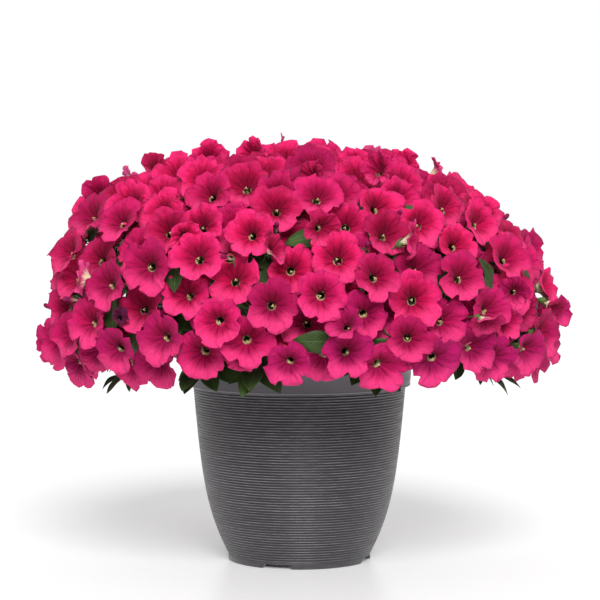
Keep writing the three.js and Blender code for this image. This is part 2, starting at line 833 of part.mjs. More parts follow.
function numbered(name, index) {
  return `${name}_${String(index + 1).padStart(2, '0')}`;
}

addPart('pot', makePot(), potMaterial());
addPart('potting_mix', makeMix([...sprays, ...leafyStems]), mixMaterial());
sprays.forEach((spray, i) => {
  const solid = fuse([stemSolid(spray), ...spray.blooms.map(bloomSolid)]);
  addPart(numbered('spray', i), solid, petalMaterial());
});
leafyStems.forEach((stem, i) => {
  const solid = fuse([stemSolid(stem), ...stem.leaves.map(leafSolid)]);
  addPart(numbered('leafy_stem', i), solid, leafMaterial());
});

export default group;
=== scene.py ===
# %% [markdown]
# A spreading petunia in full bloom, in its round ridged planter.
# The solids of the frame give every piece its place and size: a pot, the potting mix, 38 sprays of
# blooms and 18 leafy stems. This lesson gives them the look of the real plant. It replaces each spray
# with rounded, veined trumpets on green stalks, each leafy stem with arched leaves, the plain pot
# with a ridged one, and the smooth mix with a crumbly one. Everything is in metres, with +Z up and the
# front of the plant towards -Y.

# %% Load the frame
import math
import random as rnd
import bmesh
import bpy
import numpy as np
from mathutils import Matrix, Vector, noise


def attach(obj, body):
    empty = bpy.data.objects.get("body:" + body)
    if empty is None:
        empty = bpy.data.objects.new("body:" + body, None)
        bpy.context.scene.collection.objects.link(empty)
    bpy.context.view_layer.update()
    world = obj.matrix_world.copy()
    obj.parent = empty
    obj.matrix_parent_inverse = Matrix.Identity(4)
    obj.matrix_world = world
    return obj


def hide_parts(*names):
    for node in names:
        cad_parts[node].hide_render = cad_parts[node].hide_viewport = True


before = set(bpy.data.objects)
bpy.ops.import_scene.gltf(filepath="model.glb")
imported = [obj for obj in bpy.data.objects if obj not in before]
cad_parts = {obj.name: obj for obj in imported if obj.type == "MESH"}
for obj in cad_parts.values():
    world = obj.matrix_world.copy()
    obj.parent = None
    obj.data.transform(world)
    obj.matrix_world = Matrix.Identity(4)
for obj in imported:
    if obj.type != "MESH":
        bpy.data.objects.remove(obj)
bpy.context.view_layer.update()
MM = 0.001
TURN = 2 * math.pi
print("nodes in the frame:", len(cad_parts))

# %% [markdown]
# The camera stands almost three metres in front of the pot with a long lens, a little above the rim
# and tipped down by some three degrees. A long lens keeps the pot's sides nearly parallel.

# %% Place the camera
CAMERA_PLACE = (0.0008, -2.96, 0.512)
PICTURE_WIDTH = 600
FOCAL_PIXELS = 2249
HORIZON_PIXELS = 129
SENSOR_WIDTH = 36
CAMERA_DIP = math.atan(HORIZON_PIXELS / FOCAL_PIXELS)
LENS = SENSOR_WIDTH * FOCAL_PIXELS / PICTURE_WIDTH


def add_object(name, data):
    item = bpy.data.objects.new(name, data)
    bpy.context.scene.collection.objects.link(item)
    return item


def place_camera():
    data = bpy.data.cameras.new("camera")
    data.lens = LENS
    data.sensor_width = SENSOR_WIDTH
    camera = add_object("camera", data)
    camera.location = CAMERA_PLACE
    camera.rotation_euler = (math.pi / 2 - CAMERA_DIP, 0, 0)
    bpy.context.scene.camera = camera


place_camera()
print("lens, mm:", round(LENS, 1))

# %% [markdown]
# The plant stands on a white floor in a white room, as in a studio. Most of the room's light comes
# from the sides and from behind, and less from the camera's side. One broad lamp, high in front, makes
# the soft shading on the blooms and the shadow behind the pot. The camera sees the room brighter than
# the plant does, and the floor glows a little, so that both stay white.

# %% Make the floor and the light
WHITE = (1, 1, 1, 1)
FLOOR_HALF = 12
FLOOR_CELLS = 8
FLOOR_COLOUR = (0.97, 0.97, 0.97, 1)
ROOM_SEEN = 1.0
FLOOR_ROUGHNESS = 0.3
FLOOR_GLOW = 0.14
ROOM_GLOW_FRONT = 0.15
ROOM_GLOW_SIDE = 0.66
ROOM_SIDE_AT = 0.2
LAMP_PLACE = (0.15, -1.6, 1.17)
LAMP_STRENGTH = 3.2
LAMP_WIDTH = math.radians(28)


def new_mesh(name, bm):
    mesh = bpy.data.meshes.new(name)
    bm.to_mesh(mesh)
    bm.free()
    return mesh


def link_mesh(name, bm):
    return add_object(name, new_mesh(name, bm))


def add_floor():
    bm = bmesh.new()
    bmesh.ops.create_grid(bm, x_segments=FLOOR_CELLS, y_segments=FLOOR_CELLS, size=FLOOR_HALF)
    floor = link_mesh("floor", bm)
    material = bpy.data.materials.new("floor")
    material.use_nodes = True
    shader = material.node_tree.nodes["Principled BSDF"]
    shader.inputs["Base Color"].default_value = FLOOR_COLOUR
    shader.inputs["Roughness"].default_value = FLOOR_ROUGHNESS
    shader.inputs["Emission Color"].default_value = WHITE
    shader.inputs["Emission Strength"].default_value = FLOOR_GLOW
    floor.data.materials.append(material)


def make_room():
    world = bpy.data.worlds.new("room")
    world.use_nodes = True
    nodes, links = world.node_tree.nodes, world.node_tree.links
    glow, view = nodes["Background"], nodes.new("ShaderNodeBackground")
    glow.inputs["Color"].default_value = view.inputs["Color"].default_value = WHITE
    view.inputs["Strength"].default_value = ROOM_SEEN
    direction, split = nodes.new("ShaderNodeTexCoord"), nodes.new("ShaderNodeSeparateXYZ")
    fade = nodes.new("ShaderNodeMapRange")
    for name, number in (("From Min", -1), ("From Max", ROOM_SIDE_AT),
                         ("To Min", ROOM_GLOW_FRONT), ("To Max", ROOM_GLOW_SIDE)):
        fade.inputs[name].default_value = number
    links.new(direction.outputs["Generated"], split.inputs[0])
    links.new(split.outputs["Y"], fade.inputs["Value"])
    links.new(fade.outputs["Result"], glow.inputs["Strength"])
    path, mixer = nodes.new("ShaderNodeLightPath"), nodes.new("ShaderNodeMixShader")
    links.new(path.outputs["Is Camera Ray"], mixer.inputs[0])
    links.new(glow.outputs[0], mixer.inputs[1])
    links.new(view.outputs[0], mixer.inputs[2])
    links.new(mixer.outputs[0], nodes["World Output"].inputs["Surface"])
    bpy.context.scene.world = world


def add_lamp():
    data = bpy.data.lights.new("lamp", "SUN")
    data.energy = LAMP_STRENGTH
    data.angle = LAMP_WIDTH
    lamp = add_object("lamp", data)
    lamp.rotation_euler = (-Vector(LAMP_PLACE)).to_track_quat("-Z", "Y").to_euler()


bpy.context.scene.view_settings.view_transform = "Standard"
add_floor()
make_room()
add_lamp()
print("floor and lights are in place")

# %% [markdown]
# The blooms follow a rule. The plant is a dome, taller than a half ball, whose skirt tucks in below.
# A spiral that turns by the golden angle spreads places evenly over it, as a sunflower spreads its
# seeds. The frame's solids were placed by the same rule from the same sizes, so every fine bloom
# lands on its solid one. All of this cell is in millimetres.

# %% Sizes of the plant
MIX_TOP = 262
MIX_CROWN = 4
SEAT_GAP = 0.3
HOLE_DEPTH = 12
DOME_RADIUS = 334
DOME_TOP = 532
DOME_MIDDLE = 316
DOME_SQUARENESS = 2.4
DOME_DEPTH_SHARE = 0.95
SKIRT_DROP = 55
SKIRT_TUCK = 46
SKIRT_SWAY = 9
LEAN = 0.11
LEAN_OFFSET = 3
FORWARD_OFFSET = -5
CROWN_STEPS = 90
SKIRT_STEPS = 30
GOLDEN_ANGLE = math.pi * (3 - math.sqrt(5))
UP = np.array((0.0, 0.0, 1.0))
FRONT = np.array((0.0, -1.0, 0.0))


def unit(vector):
    return vector / math.sqrt(vector @ vector)


def square_to(vector, normal):
    """The part of a vector that lies square to another."""
    return vector - normal * (vector @ normal) / (normal @ normal)


def span(a, b):
    """The distance between two points."""
    return math.sqrt((a - b) @ (a - b))


class Stream:
    """A seeded stream of even random numbers between 0 and 1."""

    def __init__(self, seed):
        self.state = seed

    def __call__(self):
        self.state = (self.state * 1664525 + 1013904223) % 4294967296
        return self.state / 4294967296


def random_vector(draw, lift):
    return np.array((draw() - 0.5, draw() - 0.5, draw() - 0.5 + lift))


# %% The dome
def dome_outline():
    points = []
    for i in range(CROWN_STEPS + 1):
        turn = (i / CROWN_STEPS) * math.pi / 2
        r = DOME_RADIUS * math.sin(turn) ** (2 / DOME_SQUARENESS)
        rise = abs(math.cos(turn)) ** (2 / DOME_SQUARENESS)
        points.append([r, DOME_MIDDLE + (DOME_TOP - DOME_MIDDLE) * rise, 0.0])
    for i in range(1, SKIRT_STEPS + 1):
        turn = (i / SKIRT_STEPS) * math.pi / 2
        r = DOME_RADIUS - SKIRT_TUCK * (1 - math.cos(turn))
        points.append([r, DOME_MIDDLE - SKIRT_DROP * math.sin(turn), 0.0])
    area = 0.0
    for i, point in enumerate(points):
        before = points[max(0, i - 1)]
        area += math.hypot(point[0] - before[0], point[1] - before[1]) * (point[0] + before[0])
        point[2] = area
    return points


outline = dome_outline()
dome_area = outline[-1][2]


def dome_place(share, azimuth):
    """A place by its share of the dome's area from the top, and its azimuth, with its directions."""
    wanted = share * dome_area
    i = max(1, next(k for k, point in enumerate(outline) if point[2] >= wanted))
    start, end = outline[i - 1], outline[i]
    part = (wanted - start[2]) / (end[2] - start[2])
    r = start[0] + (end[0] - start[0]) * part
    z = start[1] + (end[1] - start[1]) * part
    run = math.hypot(end[0] - start[0], end[1] - start[1])
    outward = np.array((math.cos(azimuth), math.sin(azimuth), 0.0))
    normal = outward * ((start[1] - end[1]) / run) + UP * ((end[0] - start[0]) / run)
    low = max(0.0, share - 0.5) * 2
    sway = -SKIRT_SWAY * math.cos(2 * azimuth) * low * low
    lean = LEAN_OFFSET - LEAN * max(0.0, z - DOME_MIDDLE)
    forward = FORWARD_OFFSET + r * DOME_DEPTH_SHARE * outward[1]
    point = np.array((lean + r * outward[0], forward, z + sway))
    level = unit(np.cross(UP, normal))
    return {"share": share, "azimuth": azimuth, "point": point, "normal": normal,
            "outward": outward, "level": level, "steep": np.cross(normal, level)}


def spiral(count, phase=0):
    """Places that lie evenly over the dome, from its top to the end of its skirt."""
    return [dome_place((index + 0.5) / count, (index + phase) * GOLDEN_ANGLE) for index in range(count)]


print("dome's area, square metres:", round(dome_area * math.pi * MM * MM, 3))

# %% [markdown]
# Each bloom takes its place on the spiral, a little askew. Where it would cut into a neighbour it
# draws back into the dome by a step, as real blooms slide past each other, and after a round of steps
# it is also made a little smaller.

# %% Place the blooms
BLOOM_COUNT = 236
BLOOM_RADIUS = 28.5
BLOOM_RADIUS_SPREAD = 5
BLOOM_DISH = 11
LOBES = 5
NOTCH_SHARE = 0.84
LOBE_WAVE = 3
NECK_RADIUS = 5
NECK_DEPTH = 13.5
PEDICEL_RADIUS = 1.1
INNER_SAMPLES_AT = 0.5
OUTWARD_FACING = 0.6
FRONT_FACING = 0.6
TILT_SPREAD = 0.6
TILT_UPWARD = 0.3
PLACE_SPREAD = 15
DRAW_BACK = 7
DRAW_BACK_STEPS = 5
FIRST_STEPS = 3
BLOOM_TRIES = 40
ROUND_SHRINK = 1.2
BLOOM_GAP = 1.1
NEIGHBOUR_REACH = 110
BLOOM_SEED = 135074
TUBE_SAMPLES = (0, 0.3, 0.6, 0.9)
THROAT_THICKNESS = 3
SPRAY_TIP_DEPTH = 46


def bloom_point(bloom, radius, angle, height):
    return (bloom["face"] + bloom["side"] * (radius * math.cos(angle))
            + bloom["front"] * (radius * math.sin(angle)) + bloom["axis"] * height)


def neck_point(bloom):
    return bloom["face"] - bloom["axis"] * NECK_DEPTH


def bloom_samples(bloom):
    """Test points round a bloom's limb, and along the middle of its tube."""
    limb = []
    for i in range(2 * LOBES):
        tip = i % 2 == 0
        radius = bloom["radius"] if tip else bloom["radius"] * NOTCH_SHARE
        limb.append(bloom_point(bloom, radius, (i / LOBES) * math.pi, bloom["waves"][i // 2] if tip else 0))
    for i in range(LOBES):
        limb.append(bloom_point(bloom, bloom["radius"] * INNER_SAMPLES_AT, (2 * i / LOBES) * math.pi,
                                -BLOOM_DISH * INNER_SAMPLES_AT))
    neck = neck_point(bloom)
    inner = bloom["face"] - bloom["place"]["normal"] * SPRAY_TIP_DEPTH
    tube = [neck + (inner - neck) * share for share in TUBE_SAMPLES]
    return np.array(limb), np.array(tube)


def pierce(points, bloom, gap):
    """Whether some points touch a bloom's limb, or lie on both of its sides."""
    offset = points - bloom["face"]
    height = offset @ bloom["axis"]
    radius = np.sqrt(np.maximum(0, (offset * offset).sum(1) - height * height))
    within = radius <= bloom["radius"] + gap
    inward = 1 - radius / bloom["radius"]
    above = height > -BLOOM_DISH * inward + gap + LOBE_WAVE
    below = height < -BLOOM_DISH * inward - gap - LOBE_WAVE - THROAT_THICKNESS * inward
    if (within & ~above & ~below).any():
        return True
    return bool((within & above).any() and (within & below).any())


def blooms_clash(a, b, gap=BLOOM_GAP):
    return any(pierce(points, other, gap) for one, other in ((a, b), (b, a)) for points in one["samples"])


def neighbours(place, others):
    point = place["point"]
    return [other for other in others if span(other["place"]["point"], point) < NEIGHBOUR_REACH]


def make_bloom(place, axis, roll, face, radius, draw):
    """A bloom that faces along its axis and is rolled about it."""
    level = unit(np.cross(UP, axis))
    side = level * math.cos(roll) + np.cross(axis, level) * math.sin(roll)
    bloom = {"place": place, "axis": axis, "side": side, "front": np.cross(axis, side), "face": face,
             "radius": radius, "limp": 0, "waves": [LOBE_WAVE * (2 * draw() - 1) for _ in range(LOBES)]}
    bloom["samples"] = bloom_samples(bloom)
    return bloom


def try_bloom(place, jitter, step, lap, draw):
    tilt = random_vector(draw, TILT_UPWARD) * TILT_SPREAD
    facing = place["normal"] + place["outward"] * OUTWARD_FACING + FRONT * FRONT_FACING
    face = place["point"] - place["normal"] * (step * DRAW_BACK) + jitter
    roll = draw() * TURN
    radius = BLOOM_RADIUS + BLOOM_RADIUS_SPREAD * draw() - ROUND_SHRINK * lap
    return make_bloom(place, unit(facing + tilt), roll, face, radius, draw)


def place_bloom(place, placed, draw):
    jitter = square_to(random_vector(draw, 0) * PLACE_SPREAD, place["normal"])
    first = math.floor(draw() * FIRST_STEPS)
    near = neighbours(place, placed)
    for attempt in range(BLOOM_TRIES):
        step = (first + attempt) % DRAW_BACK_STEPS
        bloom = try_bloom(place, jitter, step, attempt // DRAW_BACK_STEPS, draw)
        if not any(blooms_clash(bloom, other) for other in near):
            return bloom
    return None


def place_blooms():
    draw = Stream(BLOOM_SEED)
    placed = []
    for place in spiral(BLOOM_COUNT):
        bloom = place_bloom(place, placed, draw)
        if bloom:
            placed.append(bloom)
    return placed


blooms = place_blooms()
print("blooms:", len(blooms))

# %% [markdown]
# Every stem stands in the potting mix and fans out to its own part of the dome. A bloom hangs on the
# nearest stem, and the farther out it stands in its spray, the lower down the stem it joins.

# %% Place the sprays
STEM_RADIUS = 3.1
STEM_CIRCLE = 104
STEM_RUNS = 3
STEM_BEND = 0.42
COLLAR_RISE = 1.0
SPRAY_COUNT = 38
SPRAY_PHASE = 0.4
FIRST_JOINT = 4
JOINT_SPACING = 8
SUNK_SHARE = 0.9


def stem_curve(place, tip, direction):
    """The foot of a stem and the four handles of the curve from its collar to its tip."""
    foot = place["outward"] * (STEM_CIRCLE * math.sqrt(place["share"]))
    foot[2] = MIX_TOP - HOLE_DEPTH + SEAT_GAP
    collar = np.array((foot[0], foot[1], MIX_TOP + MIX_CROWN + COLLAR_RISE))
    bend = STEM_BEND * span(collar, tip)
    return foot, (collar, collar + UP * bend, tip - direction * bend, tip)


def curve_weights(share):
    rest = 1 - share
    return rest ** 3, 3 * rest * rest * share, 3 * rest * share * share, share ** 3


def curve_point(handles, share):
    return sum(handle * weight for handle, weight in zip(handles, curve_weights(share)))


def stem_path(place, tip, direction):
    foot, handles = stem_curve(place, tip, direction)
    return [foot] + [curve_point(handles, i / STEM_RUNS) for i in range(STEM_RUNS + 1)]


def point_on_stem(path, distance):
    i = len(path) - 1
    left = distance
    while i > 2 and left > span(path[i], path[i - 1]):
        left -= span(path[i], path[i - 1])
        i -= 1
    share = min(left / span(path[i], path[i - 1]), SUNK_SHARE)
    return path[i] + (path[i - 1] - path[i]) * share


def place_sprays(blooms):
    sprays = []
    for number, place in enumerate(spiral(SPRAY_COUNT, SPRAY_PHASE), start=1):
        tip = place["point"] - place["normal"] * SPRAY_TIP_DEPTH
        sprays.append({"name": f"spray_{number:02d}", "place": place, "tip": tip,
                       "direction": place["normal"], "path": stem_path(place, tip, place["normal"]),
                       "blooms": []})
    for bloom in blooms:
        spans = [span(spray["place"]["point"], bloom["place"]["point"]) for spray in sprays]
        sprays[spans.index(min(spans))]["blooms"].append(bloom)
    for spray in sprays:
        normal, tip = spray["place"]["normal"], spray["tip"]
        spray["blooms"].sort(key=lambda bloom: np.linalg.norm(square_to(bloom["face"] - tip, normal)))
        for i, bloom in enumerate(spray["blooms"]):
            bloom["root"] = point_on_stem(spray["path"], FIRST_JOINT + i * JOINT_SPACING)
    return sprays


sprays = place_sprays(blooms)
print("blooms in each spray:", [len(spray["blooms"]) for spray in sprays])

# %% [markdown]
# Leafy stems take the widest gaps between the sprays: eight under the skirt, where their leaves hang
# below the blooms, and ten inside the dome. Each leaf turns aside until it clears the blooms, stems
# and leaves round it, and is left out if it never does.

# %% Place the leafy stems
DOME_STEMS = 10
DOME_CANDIDATES = 400
DOME_FIRST_SHARE = 0.02
DOME_LAST_SHARE = 0.88
DOME_STEM_DEPTH = 44
DOME_LEAVES = 5
DOME_LEAF_START = 0.6
DOME_LEAF_TURN = 0.55
DOME_LEAF_LIFTS = (0.75, 0.45, 1.05)
SKIRT_STEMS = 8
SKIRT_CANDIDATES = 360
SKIRT_SHARE = 0.985
SKIRT_STEM_DEPTH = 44
SKIRT_STEM_FALL = 0.6
SKIRT_LEAVES = 6
SKIRT_LEAF_REACH = 0.8
SKIRT_LEAF_START = 0.3
SKIRT_LEAF_FAN = 0.25
SKIRT_LEAF_TURN = 0.09
SKIRT_LEAF_FALLS = (0.45, 0.25, 0.7)
SKIRT_LEAF_DROOP = 0.08
STEM_TRIES = 24
STEM_SWING = 4
STEM_SWING_POWER = 0.7
STEM_SAMPLES = 10
STEM_GAP = 2
FIRST_LEAF = 3
LEAF_SPACING = 9
LEAF_TRIES = 36
LEAF_SEED = 7919
SMALLER_LEAF = 0.8
LONGEST_LEAF = 1.08
LEAF_LENGTH_SPREAD = 0.2
LEAF_LENGTH = 50
LEAF_WIDTH = 27
LEAF_ARCH = 0.1
LEAF_ARCH_PEAK = 0.75
LEAF_OUTLINE_POWER = 0.8
LEAF_GAP = 1.2
LEAF_CLEARANCE = 3.7
LEAF_APART = 5.4
LEAF_SAMPLE_ROWS = (0.86, 0.72, 0.58, 0.44, 0.3, 0.16)
LEAF_SAMPLE_COLUMNS = (-1, -0.5, 0, 0.5, 1)
OUTER_SAMPLES = 21


def farthest_places(count, candidates, taken):
    """The places that lie farthest from those already taken, one after the other."""
    points = np.array([place["point"] for place in candidates])
    room = np.full(len(candidates), np.inf)
    for place in taken:
        room = np.minimum(room, np.linalg.norm(points - place["point"], axis=1))
    chosen = []
    for _ in range(count):
        chosen.append(candidates[int(room.argmax())])
        room = np.minimum(room, np.linalg.norm(points - chosen[-1]["point"], axis=1))
    return chosen


def leaf_point(leaf, share, across):
    power = LEAF_OUTLINE_POWER
    half = leaf["width"] / 2 * max(0.0, math.sin(math.pi * share ** power)) ** power
    lift = LEAF_ARCH * leaf["length"] * math.sin(math.pi * share * LEAF_ARCH_PEAK)
    return (leaf["base"] + leaf["midrib"] * (share * leaf["length"])
            + leaf["side"] * (across * half) + leaf["upper"] * lift)


def make_leaf(base, midrib, facing, length):
    side = unit(np.cross(midrib, facing))
    leaf = {"base": base, "midrib": midrib, "side": side, "upper": np.cross(side, midrib),
            "length": length, "width": LEAF_WIDTH * length / LEAF_LENGTH}
    rows = [leaf_point(leaf, 1, 0)]
    rows += [leaf_point(leaf, share, across) for share in LEAF_SAMPLE_ROWS for across in LEAF_SAMPLE_COLUMNS]
    leaf["samples"] = np.array(rows)
    return leaf


def rods_of(stem):
    path = stem["path"]
    return [(path[i], path[i + 1], STEM_RADIUS, STEM_RADIUS) for i in range(len(path) - 1)]


def rod_distance(points, rods):
    """The least distance from each point to the skin of any of the straight, maybe tapering rods."""
    start, end = np.array([rod[0] for rod in rods]), np.array([rod[1] for rod in rods])
    thick, thin = np.array([rod[2] for rod in rods]), np.array([rod[3] for rod in rods])
    line = end - start
    offset = points[:, None, :] - start[None]
    share = np.clip((offset * line).sum(2) / (line * line).sum(1), 0, 1)
    away = np.linalg.norm(offset - share[:, :, None] * line, axis=2)
    return (away - (thick + (thin - thick) * share)).min()


def too_near(points, others, limit):
    if not len(others):
        return False
    return bool((np.linalg.norm(points[:, None, :] - np.asarray(others)[None], axis=2) < limit).any())


def clear_of_blooms(leaf, blooms, gap):
    reach = leaf["length"] + NEIGHBOUR_REACH / 2
    return not any(span(bloom["face"], leaf["base"]) < reach and pierce(leaf["samples"], bloom, gap)
                   for bloom in blooms)


def leaf_is_clear(leaf, siblings, plant):
    outer = leaf["samples"][:OUTER_SAMPLES]
    return (clear_of_blooms(leaf, plant["blooms"], LEAF_GAP)
            and rod_distance(leaf["samples"], plant["rods"]) >= LEAF_CLEARANCE
            and not too_near(leaf["samples"], plant["leaf_samples"], LEAF_APART)
            and not any(too_near(outer, other["samples"][:OUTER_SAMPLES], LEAF_APART) for other in siblings))


def leafy_stem(place, depth, inward, direction, plant):
    for attempt in range(STEM_TRIES):
        swing = STEM_SWING * attempt ** STEM_SWING_POWER
        tip = (place["point"] + inward * depth
               + place["level"] * (swing * math.cos(attempt * GOLDEN_ANGLE))
               + place["steep"] * (swing * math.sin(attempt * GOLDEN_ANGLE)))
        path = stem_path(place, tip, direction)
        samples = np.array([path[i - 1] + (path[i] - path[i - 1]) * (part / STEM_SAMPLES)
                            for i in range(1, len(path)) for part in range(STEM_SAMPLES + 1)])
        if rod_distance(samples, plant["rods"]) >= STEM_RADIUS + STEM_GAP:
            break
    return {"place": place, "tip": tip, "direction": direction, "path": path}


def grow_leaves(count, path, heading, plant, draw):
    leaves = []
    for i in range(count):
        base = point_on_stem(path, FIRST_LEAF + i * LEAF_SPACING)
        start = draw()
        for attempt in range(LEAF_TRIES):
            size = 1 if attempt < LEAF_TRIES / 2 else SMALLER_LEAF
            length = LEAF_LENGTH * size * (LONGEST_LEAF - LEAF_LENGTH_SPREAD * draw())
            midrib, facing = heading(i, attempt, start)
            leaf = make_leaf(base, midrib, facing, length)
            if leaf_is_clear(leaf, leaves, plant):
                leaves.append(leaf)
                break
    return leaves


def dome_stem(place, plant, draw):
    def heading(i, attempt, start):
        angle = DOME_LEAF_START * start + i * GOLDEN_ANGLE + attempt * DOME_LEAF_TURN
        lift = DOME_LEAF_LIFTS[attempt % len(DOME_LEAF_LIFTS)]
        midrib = (place["level"] * math.cos(angle) + place["steep"] * math.sin(angle)
                  + place["normal"] * lift)
        return unit(midrib), place["normal"]
    stem = leafy_stem(place, DOME_STEM_DEPTH, -place["normal"], place["normal"], plant)
    stem["leaves"] = grow_leaves(DOME_LEAVES, stem["path"], heading, plant, draw)
    return stem


def skirt_stem(place, plant, draw):
    facing = unit(place["outward"] + UP)

    def heading(i, attempt, start):
        side = 1 if i % 2 == 0 else -1
        turn = attempt if attempt % 2 == 0 else -attempt
        fan = side * (SKIRT_LEAF_FAN * i + SKIRT_LEAF_START * start) + SKIRT_LEAF_TURN * turn
        fall = SKIRT_LEAF_FALLS[attempt % len(SKIRT_LEAF_FALLS)] + SKIRT_LEAF_DROOP * i
        midrib = (place["outward"] * (SKIRT_LEAF_REACH * math.cos(fan)) + place["level"] * math.sin(fan)
                  - UP * fall)
        return unit(midrib), facing
    direction = unit(place["outward"] - UP * SKIRT_STEM_FALL)
    stem = leafy_stem(place, SKIRT_STEM_DEPTH, -place["outward"], direction, plant)
    stem["leaves"] = grow_leaves(SKIRT_LEAVES, stem["path"], heading, plant, draw)
    return stem


def place_leafy_stems(sprays, blooms):
    draw = Stream(LEAF_SEED)
    tubes = [(neck_point(bloom), bloom["root"], NECK_RADIUS, PEDICEL_RADIUS) for bloom in blooms]
    plant = {"blooms": blooms, "rods": tubes + [rod for spray in sprays for rod in rods_of(spray)],
             "leaf_samples": []}
    taken = [spray["place"] for spray in sprays]
    skirt = [dome_place(SKIRT_SHARE, (i / SKIRT_CANDIDATES) * TURN) for i in range(SKIRT_CANDIDATES)]
    dome = [dome_place(DOME_FIRST_SHARE + (DOME_LAST_SHARE - DOME_FIRST_SHARE)
                       * ((i + 0.5) / DOME_CANDIDATES), i * GOLDEN_ANGLE) for i in range(DOME_CANDIDATES)]
    low = farthest_places(SKIRT_STEMS, skirt, taken)
    high = farthest_places(DOME_STEMS, dome, taken + low)
    stems = []
    for place, grow in [(p, skirt_stem) for p in low] + [(p, dome_stem) for p in high]:
        stem = grow(place, plant, draw)
        plant["rods"] += rods_of(stem)
        plant["leaf_samples"] += [point for leaf in stem["leaves"] for point in leaf["samples"]]
        stem["name"] = f"leafy_stem_{len(stems) + 1:02d}"
        stems.append(stem)
    return stems


leafy_stems = place_leafy_stems(sprays, blooms)
print("leaves on each leafy stem:", [len(stem["leaves"]) for stem in leafy_stems])

# %% [markdown]
# Not every bloom looks outwards. Some stand sideways, so that they show their pale backs and tubes, and
# a few of those are over: limp, small and dark. They take the gaps that the rule has left.

# %% Place the sideways blooms
SIDEWAYS_CANDIDATES = 150
SIDEWAYS_PHASE = 0.61
SIDEWAYS_SEED = 19
SIDEWAYS_DEPTHS = (1, 7, 13)
SIDEWAYS_TRIES = 9
SIDEWAYS_LIFT = 0.35
SIDEWAYS_RADIUS = 20
SIDEWAYS_GAP = -2.6
LIMP_EVERY = 14
LOWEST_POINT = 262
TOUCHING_REACH = 84


def has_room(bloom, others, gap):
    """Whether a bloom hangs high enough and keeps clear of the others."""
    low = bloom["samples"][0][:, 2].min() <= LOWEST_POINT
    return not low and not any(span(other["face"], bloom["face"]) < TOUCHING_REACH
                               and blooms_clash(bloom, other, gap) for other in others)


def fill(places, tries, others, draw, candidate, fits):
    """Tries some flowers at each place, and keeps the first that fits among those near it."""
    placed = []
    for place in places:
        near = neighbours(place, others + placed)
        for attempt in range(tries):
            flower = candidate(place, attempt, draw)
            if fits(flower, near):
                placed.append(flower)
                break
    return placed


def sideways_bloom(place, attempt, draw):
    depth = SIDEWAYS_DEPTHS[attempt % len(SIDEWAYS_DEPTHS)]
    angle, roll = draw() * TURN, draw() * TURN
    axis = unit(place["level"] * math.cos(angle) + place["steep"] * math.sin(angle)
                + place["normal"] * SIDEWAYS_LIFT + FRONT * SIDEWAYS_LIFT)
    face = place["point"] - place["normal"] * depth + axis * NECK_DEPTH
    radius = SIDEWAYS_RADIUS + BLOOM_RADIUS_SPREAD * draw()
    return make_bloom(place, axis, roll, face, radius, draw)


sideways_blooms = fill(
    spiral(SIDEWAYS_CANDIDATES, SIDEWAYS_PHASE), SIDEWAYS_TRIES, blooms, Stream(SIDEWAYS_SEED),
    sideways_bloom, lambda bloom, near: has_room(bloom, near, SIDEWAYS_GAP))
for bloom in sideways_blooms[LIMP_EVERY // 2::LIMP_EVERY]:
    bloom["limp"] = 1
print("sideways blooms:", len(sideways_blooms))

# %% [markdown]
# A plant in full bloom also carries blooms that stand half hidden under the outer ones. They fill the
# gaps, so that little green shows. They follow the same rule on a spiral of their own. The outer blooms
# push most of them farther in, and a place where none fits stays empty.

# %% Place the hidden blooms
HIDDEN_CANDIDATES = 560
HIDDEN_PHASE = 0.37
HIDDEN_SEED = 77
HIDDEN_STEPS = 6
HIDDEN_TRIES = 24
HIDDEN_GAP = -2.2
HIDDEN_JOINT = 30


def hidden_bloom(place, attempt, draw):
    jitter = square_to(random_vector(draw, 0) * PLACE_SPREAD, place["normal"])
    return try_bloom(place, jitter, attempt % HIDDEN_STEPS, attempt // HIDDEN_STEPS, draw)


def nearest_spray(point):
    spans = [span(spray["tip"], point) for spray in sprays]
    return sprays[spans.index(min(spans))]


def join_to_sprays(flowers, kind):
    for spray in sprays:
        spray[kind] = []
    for flower in flowers:
        spray = nearest_spray(flower["place"]["point"])
        joint = HIDDEN_JOINT + (len(spray["hidden"]) + len(spray[kind])) * JOINT_SPACING
        flower["root"] = point_on_stem(spray["path"], joint)
        spray[kind].append(flower)


hidden_blooms = sideways_blooms + fill(
    spiral(HIDDEN_CANDIDATES, HIDDEN_PHASE), HIDDEN_TRIES, blooms + sideways_blooms, Stream(HIDDEN_SEED),
    hidden_bloom, lambda bloom, near: has_room(bloom, near, HIDDEN_GAP))
join_to_sprays(hidden_blooms, "hidden")
print("hidden and sideways blooms:", len(hidden_blooms))

# %% [markdown]
# Buds push out between the blooms: long, furled spindles. Each takes a place where its line misses
# every bloom and where it starts well inside the dome, so that its stalk stays hidden.

# %% Place the buds
BUD_CANDIDATES = 110
BUD_PHASE = 0.83
BUD_SEED = 53
BUD_DEPTHS = (-6, 0, 6)
BUD_TRIES = 6
BUD_LENGTH = 34
BUD_GAP = 2
SHORTEST_BUD = 0.75
BUD_LENGTH_SPREAD = 0.4
BUD_TILT = 0.9
BUD_STATIONS = (0, 0.3, 0.6, 0.8, 1)
BUD_BURIED = 18


def try_bud(place, attempt, draw):
    depth = BUD_DEPTHS[attempt % len(BUD_DEPTHS)]
    tilt = random_vector(draw, TILT_UPWARD) * BUD_TILT
    axis = unit(place["normal"] + place["outward"] * OUTWARD_FACING + tilt)
    level = unit(np.cross(UP, axis))
    length = BUD_LENGTH * (SHORTEST_BUD + BUD_LENGTH_SPREAD * draw())
    return {"place": place, "axis": axis, "side": level, "front": np.cross(axis, level), "length": length,
            "base": place["point"] - place["normal"] * depth - axis * length}


